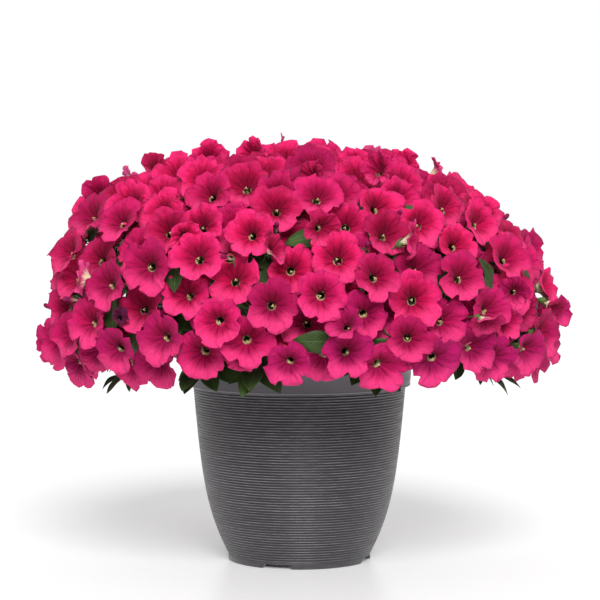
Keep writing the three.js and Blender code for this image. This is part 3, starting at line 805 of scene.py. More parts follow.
def bud_fits(bud, near):
    place = bud["place"]
    line = np.array([bud["base"] + bud["axis"] * (bud["length"] * part) for part in BUD_STATIONS])
    buried = (place["point"] - bud["base"]) @ place["normal"] > BUD_BURIED
    return buried and not any(pierce(line, flower, BUD_GAP) for flower in near if "waves" in flower)


buds = fill(spiral(BUD_CANDIDATES, BUD_PHASE), BUD_TRIES, blooms + hidden_blooms, Stream(BUD_SEED),
            try_bud, bud_fits)
join_to_sprays(buds, "buds")
print("buds:", len(buds))

# %% [markdown]
# Finishes are node materials. These short helpers add one node each and return its output, so that a
# finish further on reads like a sum. Colours are given as the eye sees them and turned into the
# linear numbers that a shader wants.

# %% Helpers for the finishes
def seen(red, green, blue):
    """A colour as the eye sees it, 0 to 255, as the linear colour of a shader."""
    return tuple(((c / 255 + 0.055) / 1.055) ** 2.4 for c in (red, green, blue)) + (1.0,)


class Finish:
    """A material under construction."""

    def __init__(self, name, roughness, specular=0.5):
        self.material = bpy.data.materials.new(name)
        self.material.use_nodes = True
        self.tree = self.material.node_tree
        self.shader = self.tree.nodes["Principled BSDF"]
        self.shader.inputs["Roughness"].default_value = roughness
        self.shader.inputs["Specular IOR Level"].default_value = specular

    def node(self, kind, **settings):
        node = self.tree.nodes.new(kind)
        for name, value in settings.items():
            setattr(node, name, value)
        return node

    def feed(self, socket, value):
        if isinstance(value, bpy.types.NodeSocket):
            self.tree.links.new(value, socket)
        else:
            socket.default_value = value

    def sum(self, operation, *values):
        node = self.node("ShaderNodeMath", operation=operation)
        for socket, value in zip(node.inputs, values):
            self.feed(socket, value)
        return node.outputs[0]

    def step(self, value, start, end, low=0.0, high=1.0):
        """A smooth step from low to high while value goes from start to end."""
        node = self.node("ShaderNodeMapRange", interpolation_type="SMOOTHSTEP")
        for name, number in (("Value", value), ("From Min", start), ("From Max", end),
                             ("To Min", low), ("To Max", high)):
            self.feed(node.inputs[name], number)
        return node.outputs["Result"]

    def mix(self, share, low, high):
        node = self.node("ShaderNodeMix", data_type="RGBA")
        for socket, value in ((node.inputs[0], share), (node.inputs[6], low), (node.inputs[7], high)):
            self.feed(socket, value)
        return node.outputs[2]

    def noise(self, scale, detail=2.0, stretch=None):
        """Noise over the piece itself, in cells of 1/scale metres, maybe stretched along an axis."""
        place = self.node("ShaderNodeTexCoord").outputs["Object"]
        if stretch:
            mapping = self.node("ShaderNodeMapping")
            self.feed(mapping.inputs["Vector"], place)
            mapping.inputs["Scale"].default_value = stretch
            place = mapping.outputs[0]
        node = self.node("ShaderNodeTexNoise")
        self.feed(node.inputs["Vector"], place)
        node.inputs["Scale"].default_value = scale
        node.inputs["Detail"].default_value = detail
        return node.outputs["Fac"]

    def attribute(self, name):
        return self.node("ShaderNodeAttribute", attribute_name=name).outputs["Fac"]

    def uv(self, name):
        split = self.node("ShaderNodeSeparateXYZ")
        self.feed(split.inputs[0], self.node("ShaderNodeUVMap", uv_map=name).outputs[0])
        return split.outputs[0], split.outputs[1]

    def colour(self, value):
        self.feed(self.shader.inputs["Base Color"], value)

    def roughness(self, value):
        self.feed(self.shader.inputs["Roughness"], value)

    def bump(self, height, strength, distance):
        node = self.node("ShaderNodeBump")
        node.inputs["Strength"].default_value = strength
        node.inputs["Distance"].default_value = distance
        self.feed(node.inputs["Height"], height)
        self.feed(self.shader.inputs["Normal"], node.outputs[0])


print("finish helpers are ready")

# %% [markdown]
# Each new piece rides on the root body and names the nodes that it stands for, which are hidden.

# %% Helpers for the pieces
CRINKLE_STRENGTH = 8
CRINKLE_SIZE = 7
MERGE_SHARE = 1e-3
crinkle_clouds = bpy.data.textures.new("crinkle", "CLOUDS")
crinkle_clouds.cloud_type = "COLOR"
crinkle_clouds.noise_scale = CRINKLE_SIZE * MM
crinkle_clouds.noise_depth = 1


def settle(piece, nodes, materials):
    """Hands a finished piece over and the nodes that it stands for."""
    for material in materials:
        piece.data.materials.append(material)
    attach(piece, "root")
    if nodes:
        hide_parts(*nodes)


def smooth(piece):
    piece.data.polygons.foreach_set("use_smooth", [True] * len(piece.data.polygons))


def set_attribute(piece, name, values):
    layer = piece.data.attributes.new(name, "FLOAT", "POINT")
    layer.data.foreach_set("value", np.asarray(values, dtype=np.float32))


def triangles(piece):
    """The triangles of a piece with its modifiers in force."""
    finished = piece.evaluated_get(bpy.context.evaluated_depsgraph_get())
    count = sum(len(face.vertices) - 2 for face in finished.to_mesh().polygons)
    finished.to_mesh_clear()
    return count


def spun(outline_points, steps, scale=1):
    """A skin, turned round the Z axis from an outline of radii and heights."""
    bm = bmesh.new()
    verts = [bm.verts.new((r * scale, 0, z * scale)) for r, z in outline_points]
    edges = [bm.edges.new(pair) for pair in zip(verts, verts[1:])]
    bmesh.ops.spin(bm, geom=verts + edges, cent=(0, 0, 0), axis=(0, 0, 1), angle=TURN, steps=steps,
                   use_merge=True, use_duplicate=False)
    bmesh.ops.remove_doubles(bm, verts=bm.verts, dist=MERGE_SHARE * scale)
    return bm


def widest_face(bm):
    return max(bm.faces, key=lambda face: face.calc_center_median().xy.length)


def corner_of(vert):
    """Which of the ten corners round the axis a point stands at. The even ones are on the lobes."""
    return round(math.atan2(vert.co.y, vert.co.x) / (TURN / (2 * LOBES)))


def pattern_of(name, bm):
    """A pattern's mesh, and its points as rows of numbers."""
    mesh = new_mesh(name, bm)
    return mesh, np.array([vert.co for vert in mesh.vertices], dtype=float)


def add_subdivision(piece):
    modifier = piece.modifiers.new("rounding", "SUBSURF")
    modifier.levels = modifier.render_levels = 1


def add_crinkle(piece, weights):
    """Moves the weighted points of a piece a little, by a cloudy pattern in all three directions."""
    group = piece.vertex_groups.new(name="crinkled")
    for index, weight in enumerate(weights):
        group.add([index], weight, "REPLACE")
    modifier = piece.modifiers.new("crinkle", "DISPLACE")
    modifier.texture = crinkle_clouds
    modifier.texture_coords = "LOCAL"
    modifier.direction = "RGB_TO_XYZ"
    modifier.mid_level = 0.5
    modifier.strength = CRINKLE_STRENGTH * MM
    modifier.vertex_group = "crinkled"


def add_thickness(piece, thickness, back_slot=0):
    modifier = piece.modifiers.new("thickness", "SOLIDIFY")
    modifier.thickness = thickness * MM
    modifier.offset = -1
    modifier.material_offset = back_slot
    modifier.material_offset_rim = 0


def repeat(name, pattern, shapes):
    """One piece of many copies of a pattern mesh, each with its own array of places in millimetres."""
    bm = bmesh.new()
    for _ in shapes:
        bm.from_mesh(pattern)
    piece = link_mesh(name, bm)
    places = np.concatenate(shapes) * MM
    piece.data.vertices.foreach_set("co", places.astype(np.float32).ravel())
    piece.data.update()
    smooth(piece)
    return piece


print("piece helpers are ready")

# %% [markdown]
# The pot is one moulded shell. Its outline is turned round its axis, as a lathe would: a short foot
# ring, a body with 64 fine ridges, and a smooth flared band at the rim. The ridges stand in the turned
# outline itself, so that they catch the light as real ones do and stay in the shape when the finish is
# gone. The four notches in the foot ring are then pushed up, and six drainage holes are cut. A thinner
# ring behind the foot keeps the notches dark. Each profile is a row of radii and heights, in millimetres.

# %% Sizes of the pot
BAND_LOW = 231
BODY_CURVE = ((94.5, 8), (122, 62), (129.5, 102), (140.5, 231))
RIDGES = 64
RIDGES_START = 8.4
RIDGE_DEPTH = 1.0
RIDGE_STEPS = ((0, 1.0), (0.3, 0.75), (0.5, 0.0), (0.7, 0.75))
FOOT_RADIUS = 94
FOOT_HEIGHT = 7
WALL = 4
FOOT_PROFILE = ((0, 7), (82, 7), (82, 1.2), (84.5, 1.2), (84.5, 7), (86, 7), (87, 6.2), (87, 0.6),
                (87.6, 0), (92.2, 0), (93.4, 0.5), (94, 0.95), (94, 7))
BAND_PROFILE = ((144.8, 231), (146.2, 231.2), (146.7, 231.9), (146.5, 232.8), (146.1, 233.6),
                (149.8, 273.5), (150, 274.8), (149.5, 275.7), (148.6, 276), (147, 276), (146, 275))
INNER_HEIGHTS = range(225, 20, -15)
FLOOR_PROFILE = ((88, 13.5), (85.5, 12), (0, 12))
FOOT_BEND = (8.2, 7.8)
FOOT_BEND_DEPTH = 0.6
NOTCHES = 4
NOTCH_WIDTH = 37
NOTCH_HEIGHT = 5.8
NOTCH_EDGE = 1.0
FIRST_NOTCH = math.radians(-107)
DRAINS = 6
DRAIN_RADIUS = 7
DRAIN_CIRCLE = 55
DRAIN_SIDES = 24
DRAIN_DEPTH = 20
POT_STEPS = 128
CREST_PLAIN = 0.45
CREST_PAINTED_SHADE_AT_FOOT = 0.38
CREST_PAINTED_LIGHT_FULL_AT = 150
BAND_MARGIN = 0.1
RIDGE_MARGIN = 1.2
SHARP_ANGLE = math.radians(50)
HALVINGS = 30


def body_point(share):
    weights = curve_weights(share)
    return [sum(point[k] * weight for point, weight in zip(BODY_CURVE, weights)) for k in (0, 1)]


def body_radius(height):
    """The radius of the body's smooth outline at a height."""
    low, high = 0.0, 1.0
    for _ in range(HALVINGS):
        middle = (low + high) / 2
        if body_point(middle)[1] < height:
            low = middle
        else:
            high = middle
    return body_point(low)[0]


def ridged_outline():
    pitch = (BAND_LOW - RIDGES_START) / RIDGES
    points = []
    for ridge in range(RIDGES):
        for share, depth in RIDGE_STEPS:
            height = RIDGES_START + (ridge + share) * pitch
            points.append((body_radius(height) - RIDGE_DEPTH * depth, height))
    return points


def pot_outline():
    """Radii and heights, from the middle of the underside round the rim to the middle of the floor."""
    bend = (body_radius(FOOT_BEND[0]) - FOOT_BEND_DEPTH, FOOT_BEND[1])
    inner = [(body_radius(height) - WALL, height) for height in INNER_HEIGHTS]
    return [*FOOT_PROFILE, bend, *ridged_outline(), *BAND_PROFILE, *inner, *FLOOR_PROFILE]


# %% Turn the pot
def turned(outline_points, steps):
    """A closed solid, turned from an outline in millimetres that starts and ends on the axis."""
    bm = spun(outline_points, steps, MM)
    bmesh.ops.recalc_face_normals(bm, faces=bm.faces)
    return bm


def push_up_notches(bm):
    for vert in bm.verts:
        azimuth = math.atan2(vert.co.y, vert.co.x) - FIRST_NOTCH
        quarter = TURN / NOTCHES
        offset = abs((azimuth + quarter / 2) % quarter - quarter / 2)
        if vert.co.z < NOTCH_EDGE * MM and offset * FOOT_RADIUS < NOTCH_WIDTH / 2:
            vert.co.z = NOTCH_HEIGHT * MM + vert.co.z


def round_place(radius, azimuth, height):
    """The matrix that moves a shape to a place round the pot's axis."""
    return Matrix.Translation((radius * MM * math.cos(azimuth), radius * MM * math.sin(azimuth), height * MM))


def cut_drains(piece):
    bm = bmesh.new()
    for i in range(DRAINS):
        place = round_place(DRAIN_CIRCLE, (i / DRAINS) * TURN, FOOT_HEIGHT)
        bmesh.ops.create_cone(bm, cap_ends=True, segments=DRAIN_SIDES, radius1=DRAIN_RADIUS * MM,
                              radius2=DRAIN_RADIUS * MM, depth=DRAIN_DEPTH * MM, matrix=place)
    cutter = link_mesh("drain_cutter", bm)
    modifier = piece.modifiers.new("drains", "BOOLEAN")
    modifier.operation = "DIFFERENCE"
    modifier.solver = "MANIFOLD"
    modifier.object = cutter
    shape = piece.evaluated_get(bpy.context.evaluated_depsgraph_get())
    whole = bpy.data.meshes.new_from_object(shape)
    piece.modifiers.clear()
    whole.materials.clear()
    piece.data = whole
    bpy.data.objects.remove(cutter)


def make_pot():
    bm = turned(pot_outline(), POT_STEPS)
    push_up_notches(bm)
    pot = link_mesh("pot_shell", bm)
    cut_drains(pot)
    smooth(pot)
    pot.data.set_sharp_from_angle(angle=SHARP_ANGLE)
    crest, band = [], []
    for vert in pot.data.vertices:
        radius, height = math.hypot(vert.co.x, vert.co.y) / MM, vert.co.z / MM
        on_band = height > BAND_LOW - BAND_MARGIN
        depth = body_radius(height) - radius
        ridged = RIDGES_START < height < BAND_LOW - BAND_MARGIN and depth < RIDGE_MARGIN
        # Crests are painted darker towards the foot and paler towards the rim: painted shade and painted
        # light that even out how the lamp and floor light the pot.
        wear_and_painted_light = CREST_PAINTED_SHADE_AT_FOOT + (1 - CREST_PAINTED_SHADE_AT_FOOT) * min(1, height / CREST_PAINTED_LIGHT_FULL_AT)
        crest.append(CREST_PLAIN + (1 - depth / RIDGE_DEPTH - CREST_PLAIN) * wear_and_painted_light if ridged else CREST_PLAIN)
        band.append(1 if on_band else 0)
    set_attribute(pot, "crest", crest)
    set_attribute(pot, "band", band)
    return pot


pot = make_pot()
print("triangles in the pot:", triangles(pot))

# %% [markdown]
# The plastic is a warm dark grey with a dull shine. The crests of the ridges are paler than the grooves,
# in streaks that run round the pot: partly dust and wear, partly a painted highlight on the crests and
# painted shade in the grooves. So the finish reads how high each point stands on its ridge and breaks
# that up with noise stretched along the ridges. The crests are painted darker towards the foot and
# paler towards the rim, as painted shade and painted light, and the band is an even grey.

# %% Finish the pot
# The pale crest grey is partly wear and partly painted highlight; the near-black grey is grime and painted
# shade in the grooves.
POT_GRIME_AND_GROOVE_SHADE = seen(36, 33, 37)
POT_CREST_WEAR_AND_HIGHLIGHT = seen(164, 159, 168)
POT_BAND = seen(112, 109, 115)
POT_BAND_DARK = seen(98, 95, 101)


def pot_finish():
    finish = Finish("pot_plastic", 0.5, 0.35)
    crest = finish.attribute("crest")
    streak = finish.noise(14, 3, (1, 1, 16))
    blotch = finish.noise(7, 2)
    fleck = finish.noise(300, 2, (0.25, 0.25, 1))
    # Crest paleness in streaks: partly wear, partly painted highlight on the crests and painted shade in the
    # grooves.
    wear_and_painted_light = finish.sum("MULTIPLY", finish.step(crest, 0.3, 1.0), finish.step(streak, 0.3, 0.72, 0.6, 1.1))
    wear_and_painted_light = finish.sum("MULTIPLY", wear_and_painted_light, finish.step(fleck, 0.35, 0.65, 0.7, 1.15))
    grey = finish.mix(wear_and_painted_light, POT_GRIME_AND_GROOVE_SHADE, POT_CREST_WEAR_AND_HIGHLIGHT)
    grey = finish.mix(finish.step(blotch, 0.35, 0.7, 0.0, 0.2), grey, POT_GRIME_AND_GROOVE_SHADE)
    band = finish.mix(finish.step(blotch, 0.35, 0.7), POT_BAND, POT_BAND_DARK)
    finish.colour(finish.mix(finish.attribute("band"), grey, band))
    finish.roughness(finish.step(streak, 0.3, 0.7, 0.34, 0.5))
    finish.bump(finish.noise(900, 2), 0.12, 0.0004)
    finish.shader.inputs["Sheen Weight"].default_value = 0.25
    return finish.material


settle(pot, ["pot"], [pot_finish()])
print("the pot is finished")

# %% [markdown]
# Potting mix fills the pot almost to the rim. It is a closed solid too, turned like the pot, whose top
# is then roughened into crumbs. White grains of perlite lie scattered over it.

# %% Fill the pot with mix
MIX_RADII = (0, 12, 26, 40, 54, 68, 82, 96, 110, 122, 133, 140)
MIX_EDGE = 143.5
MIX_FOOT = (84, 12.5)
MIX_HEIGHTS = range(20, 226, 15)
MIX_GAP = 0.6
MIX_STEPS = 96
CRUMB_ZONE = 5
CRUMB_HEIGHT = 3.2
CRUMB_SCALE = 95
FINE_CRUMB_HEIGHT = 0.6
FINE_CRUMB_SCALE = 2.7
EDGE_FROM = 141
EDGE_CRUMBS = 0.3
PERLITE_COUNT = 90
PERLITE_SEED = 5
PERLITE_CIRCLE = 136
PERLITE_SIZES = (1.4, 3.2)
PERLITE_LIFT = 0.4
PERLITE_DENTS = 0.3


def mix_height(radius):
    return MIX_TOP + MIX_CROWN * (1 - radius / MIX_EDGE)


def make_mix():
    top = [(radius, mix_height(radius)) for radius in reversed(MIX_RADII)]
    side = [(body_radius(height) - WALL - MIX_GAP, height) for height in MIX_HEIGHTS]
    bm = turned([(0, MIX_FOOT[1]), MIX_FOOT, *side, (MIX_EDGE, MIX_TOP), *top], MIX_STEPS)
    upper = [vert for vert in bm.verts if vert.co.z > (MIX_TOP - CRUMB_ZONE) * MM]
    for vert in upper:
        fine = noise.noise(vert.co * FINE_CRUMB_SCALE * CRUMB_SCALE)
        crumb = noise.noise(vert.co * CRUMB_SCALE) + FINE_CRUMB_HEIGHT * fine
        share = 1 if vert.co.xy.length < EDGE_FROM * MM else EDGE_CRUMBS
        vert.co.z += CRUMB_HEIGHT * MM * crumb * share
    return link_mesh("mix_body", bm)


def make_perlite():
    draw = rnd.Random(PERLITE_SEED)
    bm = bmesh.new()
    for _ in range(PERLITE_COUNT):
        radius = PERLITE_CIRCLE * math.sqrt(draw.random())
        place = round_place(radius, draw.random() * TURN, mix_height(radius) + PERLITE_LIFT)
        size = draw.uniform(*PERLITE_SIZES)
        grain = bmesh.ops.create_icosphere(bm, subdivisions=1, radius=size * MM, matrix=place)
        for vert in grain["verts"]:
            vert.co += Vector([draw.uniform(-PERLITE_DENTS, PERLITE_DENTS) * size * MM for _ in range(3)])
    return link_mesh("perlite", bm)


mix_body, perlite = make_mix(), make_perlite()
smooth(mix_body)
print("triangles in the mix:", triangles(mix_body))


# %% Finish the mix
MIX_BLACK = seen(24, 17, 12)
MIX_BROWN = seen(74, 55, 40)
MIX_DAMP = seen(22, 16, 12)
PERLITE_GREY = seen(205, 200, 188)
PERLITE_WHITE = seen(240, 238, 230)


def mix_finish():
    finish = Finish("potting_mix", 0.95, 0.2)
    grain = finish.noise(260, 4)
    damp = finish.noise(25, 2)
    brown = finish.mix(finish.step(grain, 0.35, 0.7), MIX_BLACK, MIX_BROWN)
    finish.colour(finish.mix(finish.step(damp, 0.4, 0.7, 0.0, 0.6), brown, MIX_DAMP))
    finish.bump(finish.noise(420, 3), 0.6, 0.002)
    return finish.material


def perlite_finish():
    finish = Finish("perlite", 0.9, 0.3)
    finish.colour(finish.mix(finish.noise(300, 2), PERLITE_GREY, PERLITE_WHITE))
    return finish.material


settle(mix_body, ["potting_mix"], [mix_finish()])
settle(perlite, [], [perlite_finish()])
print("the mix is finished")

# %% [markdown]
# A petunia's bloom is one fused trumpet: five lobes, a funnel, and a tube that runs down into the
# calyx. The pattern for all of them is a plain trumpet, turned from five points. A formula then gives
# every copy its own lobes, notches, waves and bend, and subdivision rounds it off.

# %% Turn the pattern of a bloom
PATTERN_RADIUS = 30
BLOOM_OUTLINE = ((1.0, 0.0), (0.72, -2.0), (0.42, -5.8), (0.165, -12.0), (0.088, -23.0))
BLOOM_STEPS = 20


def bloom_pattern():
    bm = spun([(share * PATTERN_RADIUS, height) for share, height in BLOOM_OUTLINE], BLOOM_STEPS)
    bmesh.ops.recalc_face_normals(bm, faces=bm.faces)
    if widest_face(bm).normal.z < 0:
        bmesh.ops.reverse_faces(bm, faces=bm.faces)
    layer = bm.loops.layers.uv.new("bloom")
    for face in bm.faces:
        for loop in face.loops:
            loop[layer].uv = (loop.vert.co.xy / PATTERN_RADIUS + Vector((1, 1))) / 2
    return pattern_of("bloom_pattern", bm)


bloom_mesh, pattern = bloom_pattern()
print("faces in the pattern:", len(bloom_mesh.polygons))

# %% [markdown]
# The formula works on the pattern's points by their share of the radius and their place across their
# lobe, which runs from -1 at one notch through 0 on the lobe's midrib to 1 at the next notch. The
# shoulders of a lobe are spread towards the notches, so that the notches are narrow. Midribs and seams
# sink, the flesh between them puffs up, and waves grow towards the rim. The last ring of the tube
# turns from the bloom's axis towards its stalk.

# %% Shape each bloom
FINE_SIZE = 1.09
FINE_NOTCH = 0.4
SHOULDER_SPREAD = 0.3
LOBE_LENGTH_SPREAD = 0.1
RUFFLE = 3.8
FOLD = 3.2
RIM_JITTER = 2.4
RIM_RAGGED = 0.07
RIM_SHARE = 0.99
RIMWARD_FROM = 0.3
FOLD_FROM = 0.1
NOTCH_SIZES = (0.6, 1.2)
CUPS = (-7, 3)
WAVE_SHARE = 0.7
RUFFLE_TURNS = 1.5
TUBE_RUN = 9
TUBE_RUN_SHARE = 0.4
LIMP_SHRINK = 0.45
LIMP_CRUMPLE = 4
LIMP_CLOSE = 5
SHAPE_SEED = 11
SHADE_PATCH_SIZE = 75
SHADE_PATCH_DEPTH = 0.8
LOW_PAINTED_SHADE = 0.9
SHADE_SPREAD = (-0.25, 0.35)
PETAL_THICKNESS = 0.45

share_out = np.hypot(pattern[:, 0], pattern[:, 1]) / PATTERN_RADIUS
angle_round = np.arctan2(pattern[:, 1], pattern[:, 0])
lobe_turn = angle_round * LOBES / TURN
lobe_index = np.round(lobe_turn + 1e-6).astype(int)
across_lobe = (lobe_turn - lobe_index) * 2
lobe_index %= LOBES
rimward = np.clip((share_out - RIMWARD_FROM) / (1 - RIMWARD_FROM), 0, 1)
mid_limb = np.sin(np.clip((share_out - FOLD_FROM) / (1 - FOLD_FROM), 0, 1) * math.pi)
is_rim = share_out > RIM_SHARE
is_tube_end = share_out < (BLOOM_OUTLINE[-1][0] + BLOOM_OUTLINE[-2][0]) / 2


def fine_size(bloom):
    """The size of a bloom against the pattern."""
    return FINE_SIZE * bloom["radius"] / PATTERN_RADIUS * (1 - LIMP_SHRINK * bloom["limp"])


def tube_end(bloom):
    """The end of a bloom's tube, on the way from its neck to its root, and the tube's direction there."""
    neck = neck_point(bloom)
    away = span(bloom["root"], neck)
    end = neck + (bloom["root"] - neck) * (min(TUBE_RUN, TUBE_RUN_SHARE * away) / away)
    above = bloom["face"] + bloom["axis"] * BLOOM_OUTLINE[-2][1] * fine_size(bloom)
    return end, unit(end - above)


def spread(draw, low, high, count):
    return np.array([draw.uniform(low, high) for _ in range(count)])


def shaped_bloom(bloom, draw):
    limp, size, count = bloom["limp"], fine_size(bloom), len(pattern)
    middle = 1 - across_lobe ** 2
    lengths = spread(draw, -LOBE_LENGTH_SPREAD, LOBE_LENGTH_SPREAD, LOBES)[lobe_index] * middle
    notches = FINE_NOTCH * spread(draw, *NOTCH_SIZES, LOBES)
    notch = notches[np.round(lobe_turn + 0.5).astype(int) % LOBES] * (np.abs(across_lobe) > RIM_SHARE)
    reach = 1 + rimward ** 2 * (lengths - notch) + is_rim * spread(draw, -RIM_RAGGED, RIM_RAGGED, count)
    radius = share_out * PATTERN_RADIUS * size * reach
    shift = SHOULDER_SPREAD * rimward * np.sin(math.pi * across_lobe)
    angle = angle_round + shift * (TURN / LOBES / 2)
    phases = spread(draw, 0, TURN, LOBES)[lobe_index]
    waves = np.array(bloom["waves"])[lobe_index]
    cups = spread(draw, *CUPS, LOBES)[lobe_index] + draw.uniform(-1, 1)
    height = pattern[:, 2] * size
    height = height + rimward ** 2 * (WAVE_SHARE * waves + cups) * middle
    height = height + rimward * RUFFLE * np.sin(RUFFLE_TURNS * math.pi * across_lobe + phases)
    height = height - mid_limb * FOLD * np.cos(TURN * across_lobe)
    height = height + is_rim * spread(draw, -RIM_JITTER, RIM_JITTER, count)
    height = height + limp * rimward * (spread(draw, -LIMP_CRUMPLE, LIMP_CRUMPLE, count) + LIMP_CLOSE)
    turn = np.stack([radius * np.cos(angle), radius * np.sin(angle)], axis=1)
    places = (bloom["face"] + turn[:, :1] * bloom["side"] + turn[:, 1:] * bloom["front"]
              + height[:, None] * bloom["axis"])
    end, inward = tube_end(bloom)
    side = unit(square_to(bloom["side"], inward))
    front = np.cross(-inward, side)
    places[is_tube_end] = (end + turn[is_tube_end, :1] * side + turn[is_tube_end, 1:] * front)
    return places


def rise_of_points(bloom):
    """How far each point of the pattern lies up the slope from the throat, from -1 to 1."""
    return np.cos(angle_round) * bloom["side"][2] + np.sin(angle_round) * bloom["front"][2]


def painted_shade_of_bloom(bloom, draw):
    """How far a bloom's pink is painted darker and bluer: painted shade, stronger on the low blooms, with a
    little random spread.
    """
    low = (DOME_TOP - bloom["face"][2]) / (DOME_TOP - DOME_MIDDLE + SKIRT_DROP)
    return min(1, max(0, LOW_PAINTED_SHADE * low * low + draw.uniform(*SHADE_SPREAD)))


def tone_and_painted_shade_of_bloom(bloom, draw):
    """How deep a bloom's pink is. It differs at random between blooms, and broad regions of the dome are
    painted darker as shade.
    """
    # Slow noise over the dome paints broad regions darker: painted shade.
    shade_patch = noise.noise(Vector(bloom["face"]) / SHADE_PATCH_SIZE)
    return min(1, max(0, draw.random() + SHADE_PATCH_DEPTH * shade_patch))


def make_petals(name, blooms, draw):
    petals = repeat(name, bloom_mesh, [shaped_bloom(bloom, draw) for bloom in blooms])
    for attribute, values in (("tone", [tone_and_painted_shade_of_bloom(bloom, draw) for bloom in blooms]),
                              ("shade", [painted_shade_of_bloom(bloom, draw) for bloom in blooms]),
                              ("limp", [bloom["limp"] for bloom in blooms])):
        set_attribute(petals, attribute, np.repeat(values, len(pattern)))
    set_attribute(petals, "rise", np.concatenate([rise_of_points(bloom) for bloom in blooms]))
    add_subdivision(petals)
    add_crinkle(petals, np.tile(rimward, len(blooms)))
    add_thickness(petals, PETAL_THICKNESS, back_slot=1)
    return petals


# %% [markdown]
# Velvety crimson pink covers the face of a bloom. Five dark midribs and finer veins run out from the
# throat. The uphill lobes are painted darker near it as painted shade, the downhill lobes are painted
# lighter as a painted highlight, and a cream green ring edges the olive throat, painted olive on its
# uphill half as shade. The back is a paler, bluer pink that fades to cream on the tube. All of it is
# drawn from the pattern's flat map: the distance from the middle of the map, and the angle round it.

# %% Finish the blooms
PETAL_PINK = seen(216, 15, 82)
PETAL_LIGHT = seen(238, 48, 122)
PETAL_PAINTED_HIGHLIGHT = seen(246, 68, 134)
PETAL_BLUE_PAINTED_SHADE = seen(162, 18, 88)
PETAL_DEEP = seen(112, 2, 38)
PETAL_VEIN = seen(88, 1, 32)
PETAL_LIMP = seen(92, 24, 60)
THROAT_CREAM = seen(218, 196, 146)
THROAT_OLIVE = seen(52, 44, 20)
BACK_PINK = seen(214, 76, 138)
BACK_CREAM = seen(226, 214, 176)
PETAL_SHEEN = (1.0, 0.62, 0.8, 1.0)


def bloom_map(finish):
    """The share of the radius, and the place across the lobe from the midrib, 0, to the notch, 1."""
    u, v = finish.uv("bloom")
    x, y = finish.sum("SUBTRACT", u, 0.5), finish.sum("SUBTRACT", v, 0.5)
    squares = finish.sum("MULTIPLY", x, x), finish.sum("MULTIPLY", y, y)
    length = finish.sum("SQRT", finish.sum("ADD", *squares))
    turn = finish.sum("MULTIPLY_ADD", finish.sum("ARCTAN2", y, x), LOBES / TURN, 0.5 + LOBES)
    across = finish.sum("ABSOLUTE", finish.sum("SUBTRACT", finish.sum("FRACT", turn), 0.5))
    return finish.sum("MULTIPLY", length, 2), finish.sum("MULTIPLY", across, 2)


def vein_share(finish, share, across):
    """The dark midribs and seams, and the finer veins between them."""
    wander = finish.noise(160, 2)
    bent = finish.sum("ADD", across, finish.sum("MULTIPLY_ADD", wander, 0.16, -0.08))
    rib = finish.step(bent, 0.16, 0.03)
    seam = finish.step(bent, 0.86, 0.98, 0.0, 0.8)
    main = finish.sum("MULTIPLY", finish.sum("MAXIMUM", rib, seam), finish.step(share, 0.72, 0.25))
    phase = finish.sum("ADD", finish.sum("MULTIPLY", across, 27), finish.sum("MULTIPLY", wander, 6))
    fine = finish.step(finish.sum("SINE", phase), 0.4, 1.0, 0.0, 0.45)
    fine = finish.sum("MULTIPLY", fine, finish.step(share, 0.85, 0.3))
    return finish.sum("MAXIMUM", finish.sum("MULTIPLY", main, 0.8), fine)


def pleats(finish, share, across):
    """Soft folds that run out from the throat, as a height."""
    wander = finish.noise(90, 2)
    phase = finish.sum("ADD", finish.sum("MULTIPLY", across, 10), finish.sum("MULTIPLY", wander, 9))
    fold = finish.sum("MULTIPLY", finish.sum("SINE", phase), finish.step(share, 0.15, 0.8, 0.15, 0.8))
    return finish.sum("ADD", fold, finish.sum("MULTIPLY", finish.noise(260, 3), 1.2))


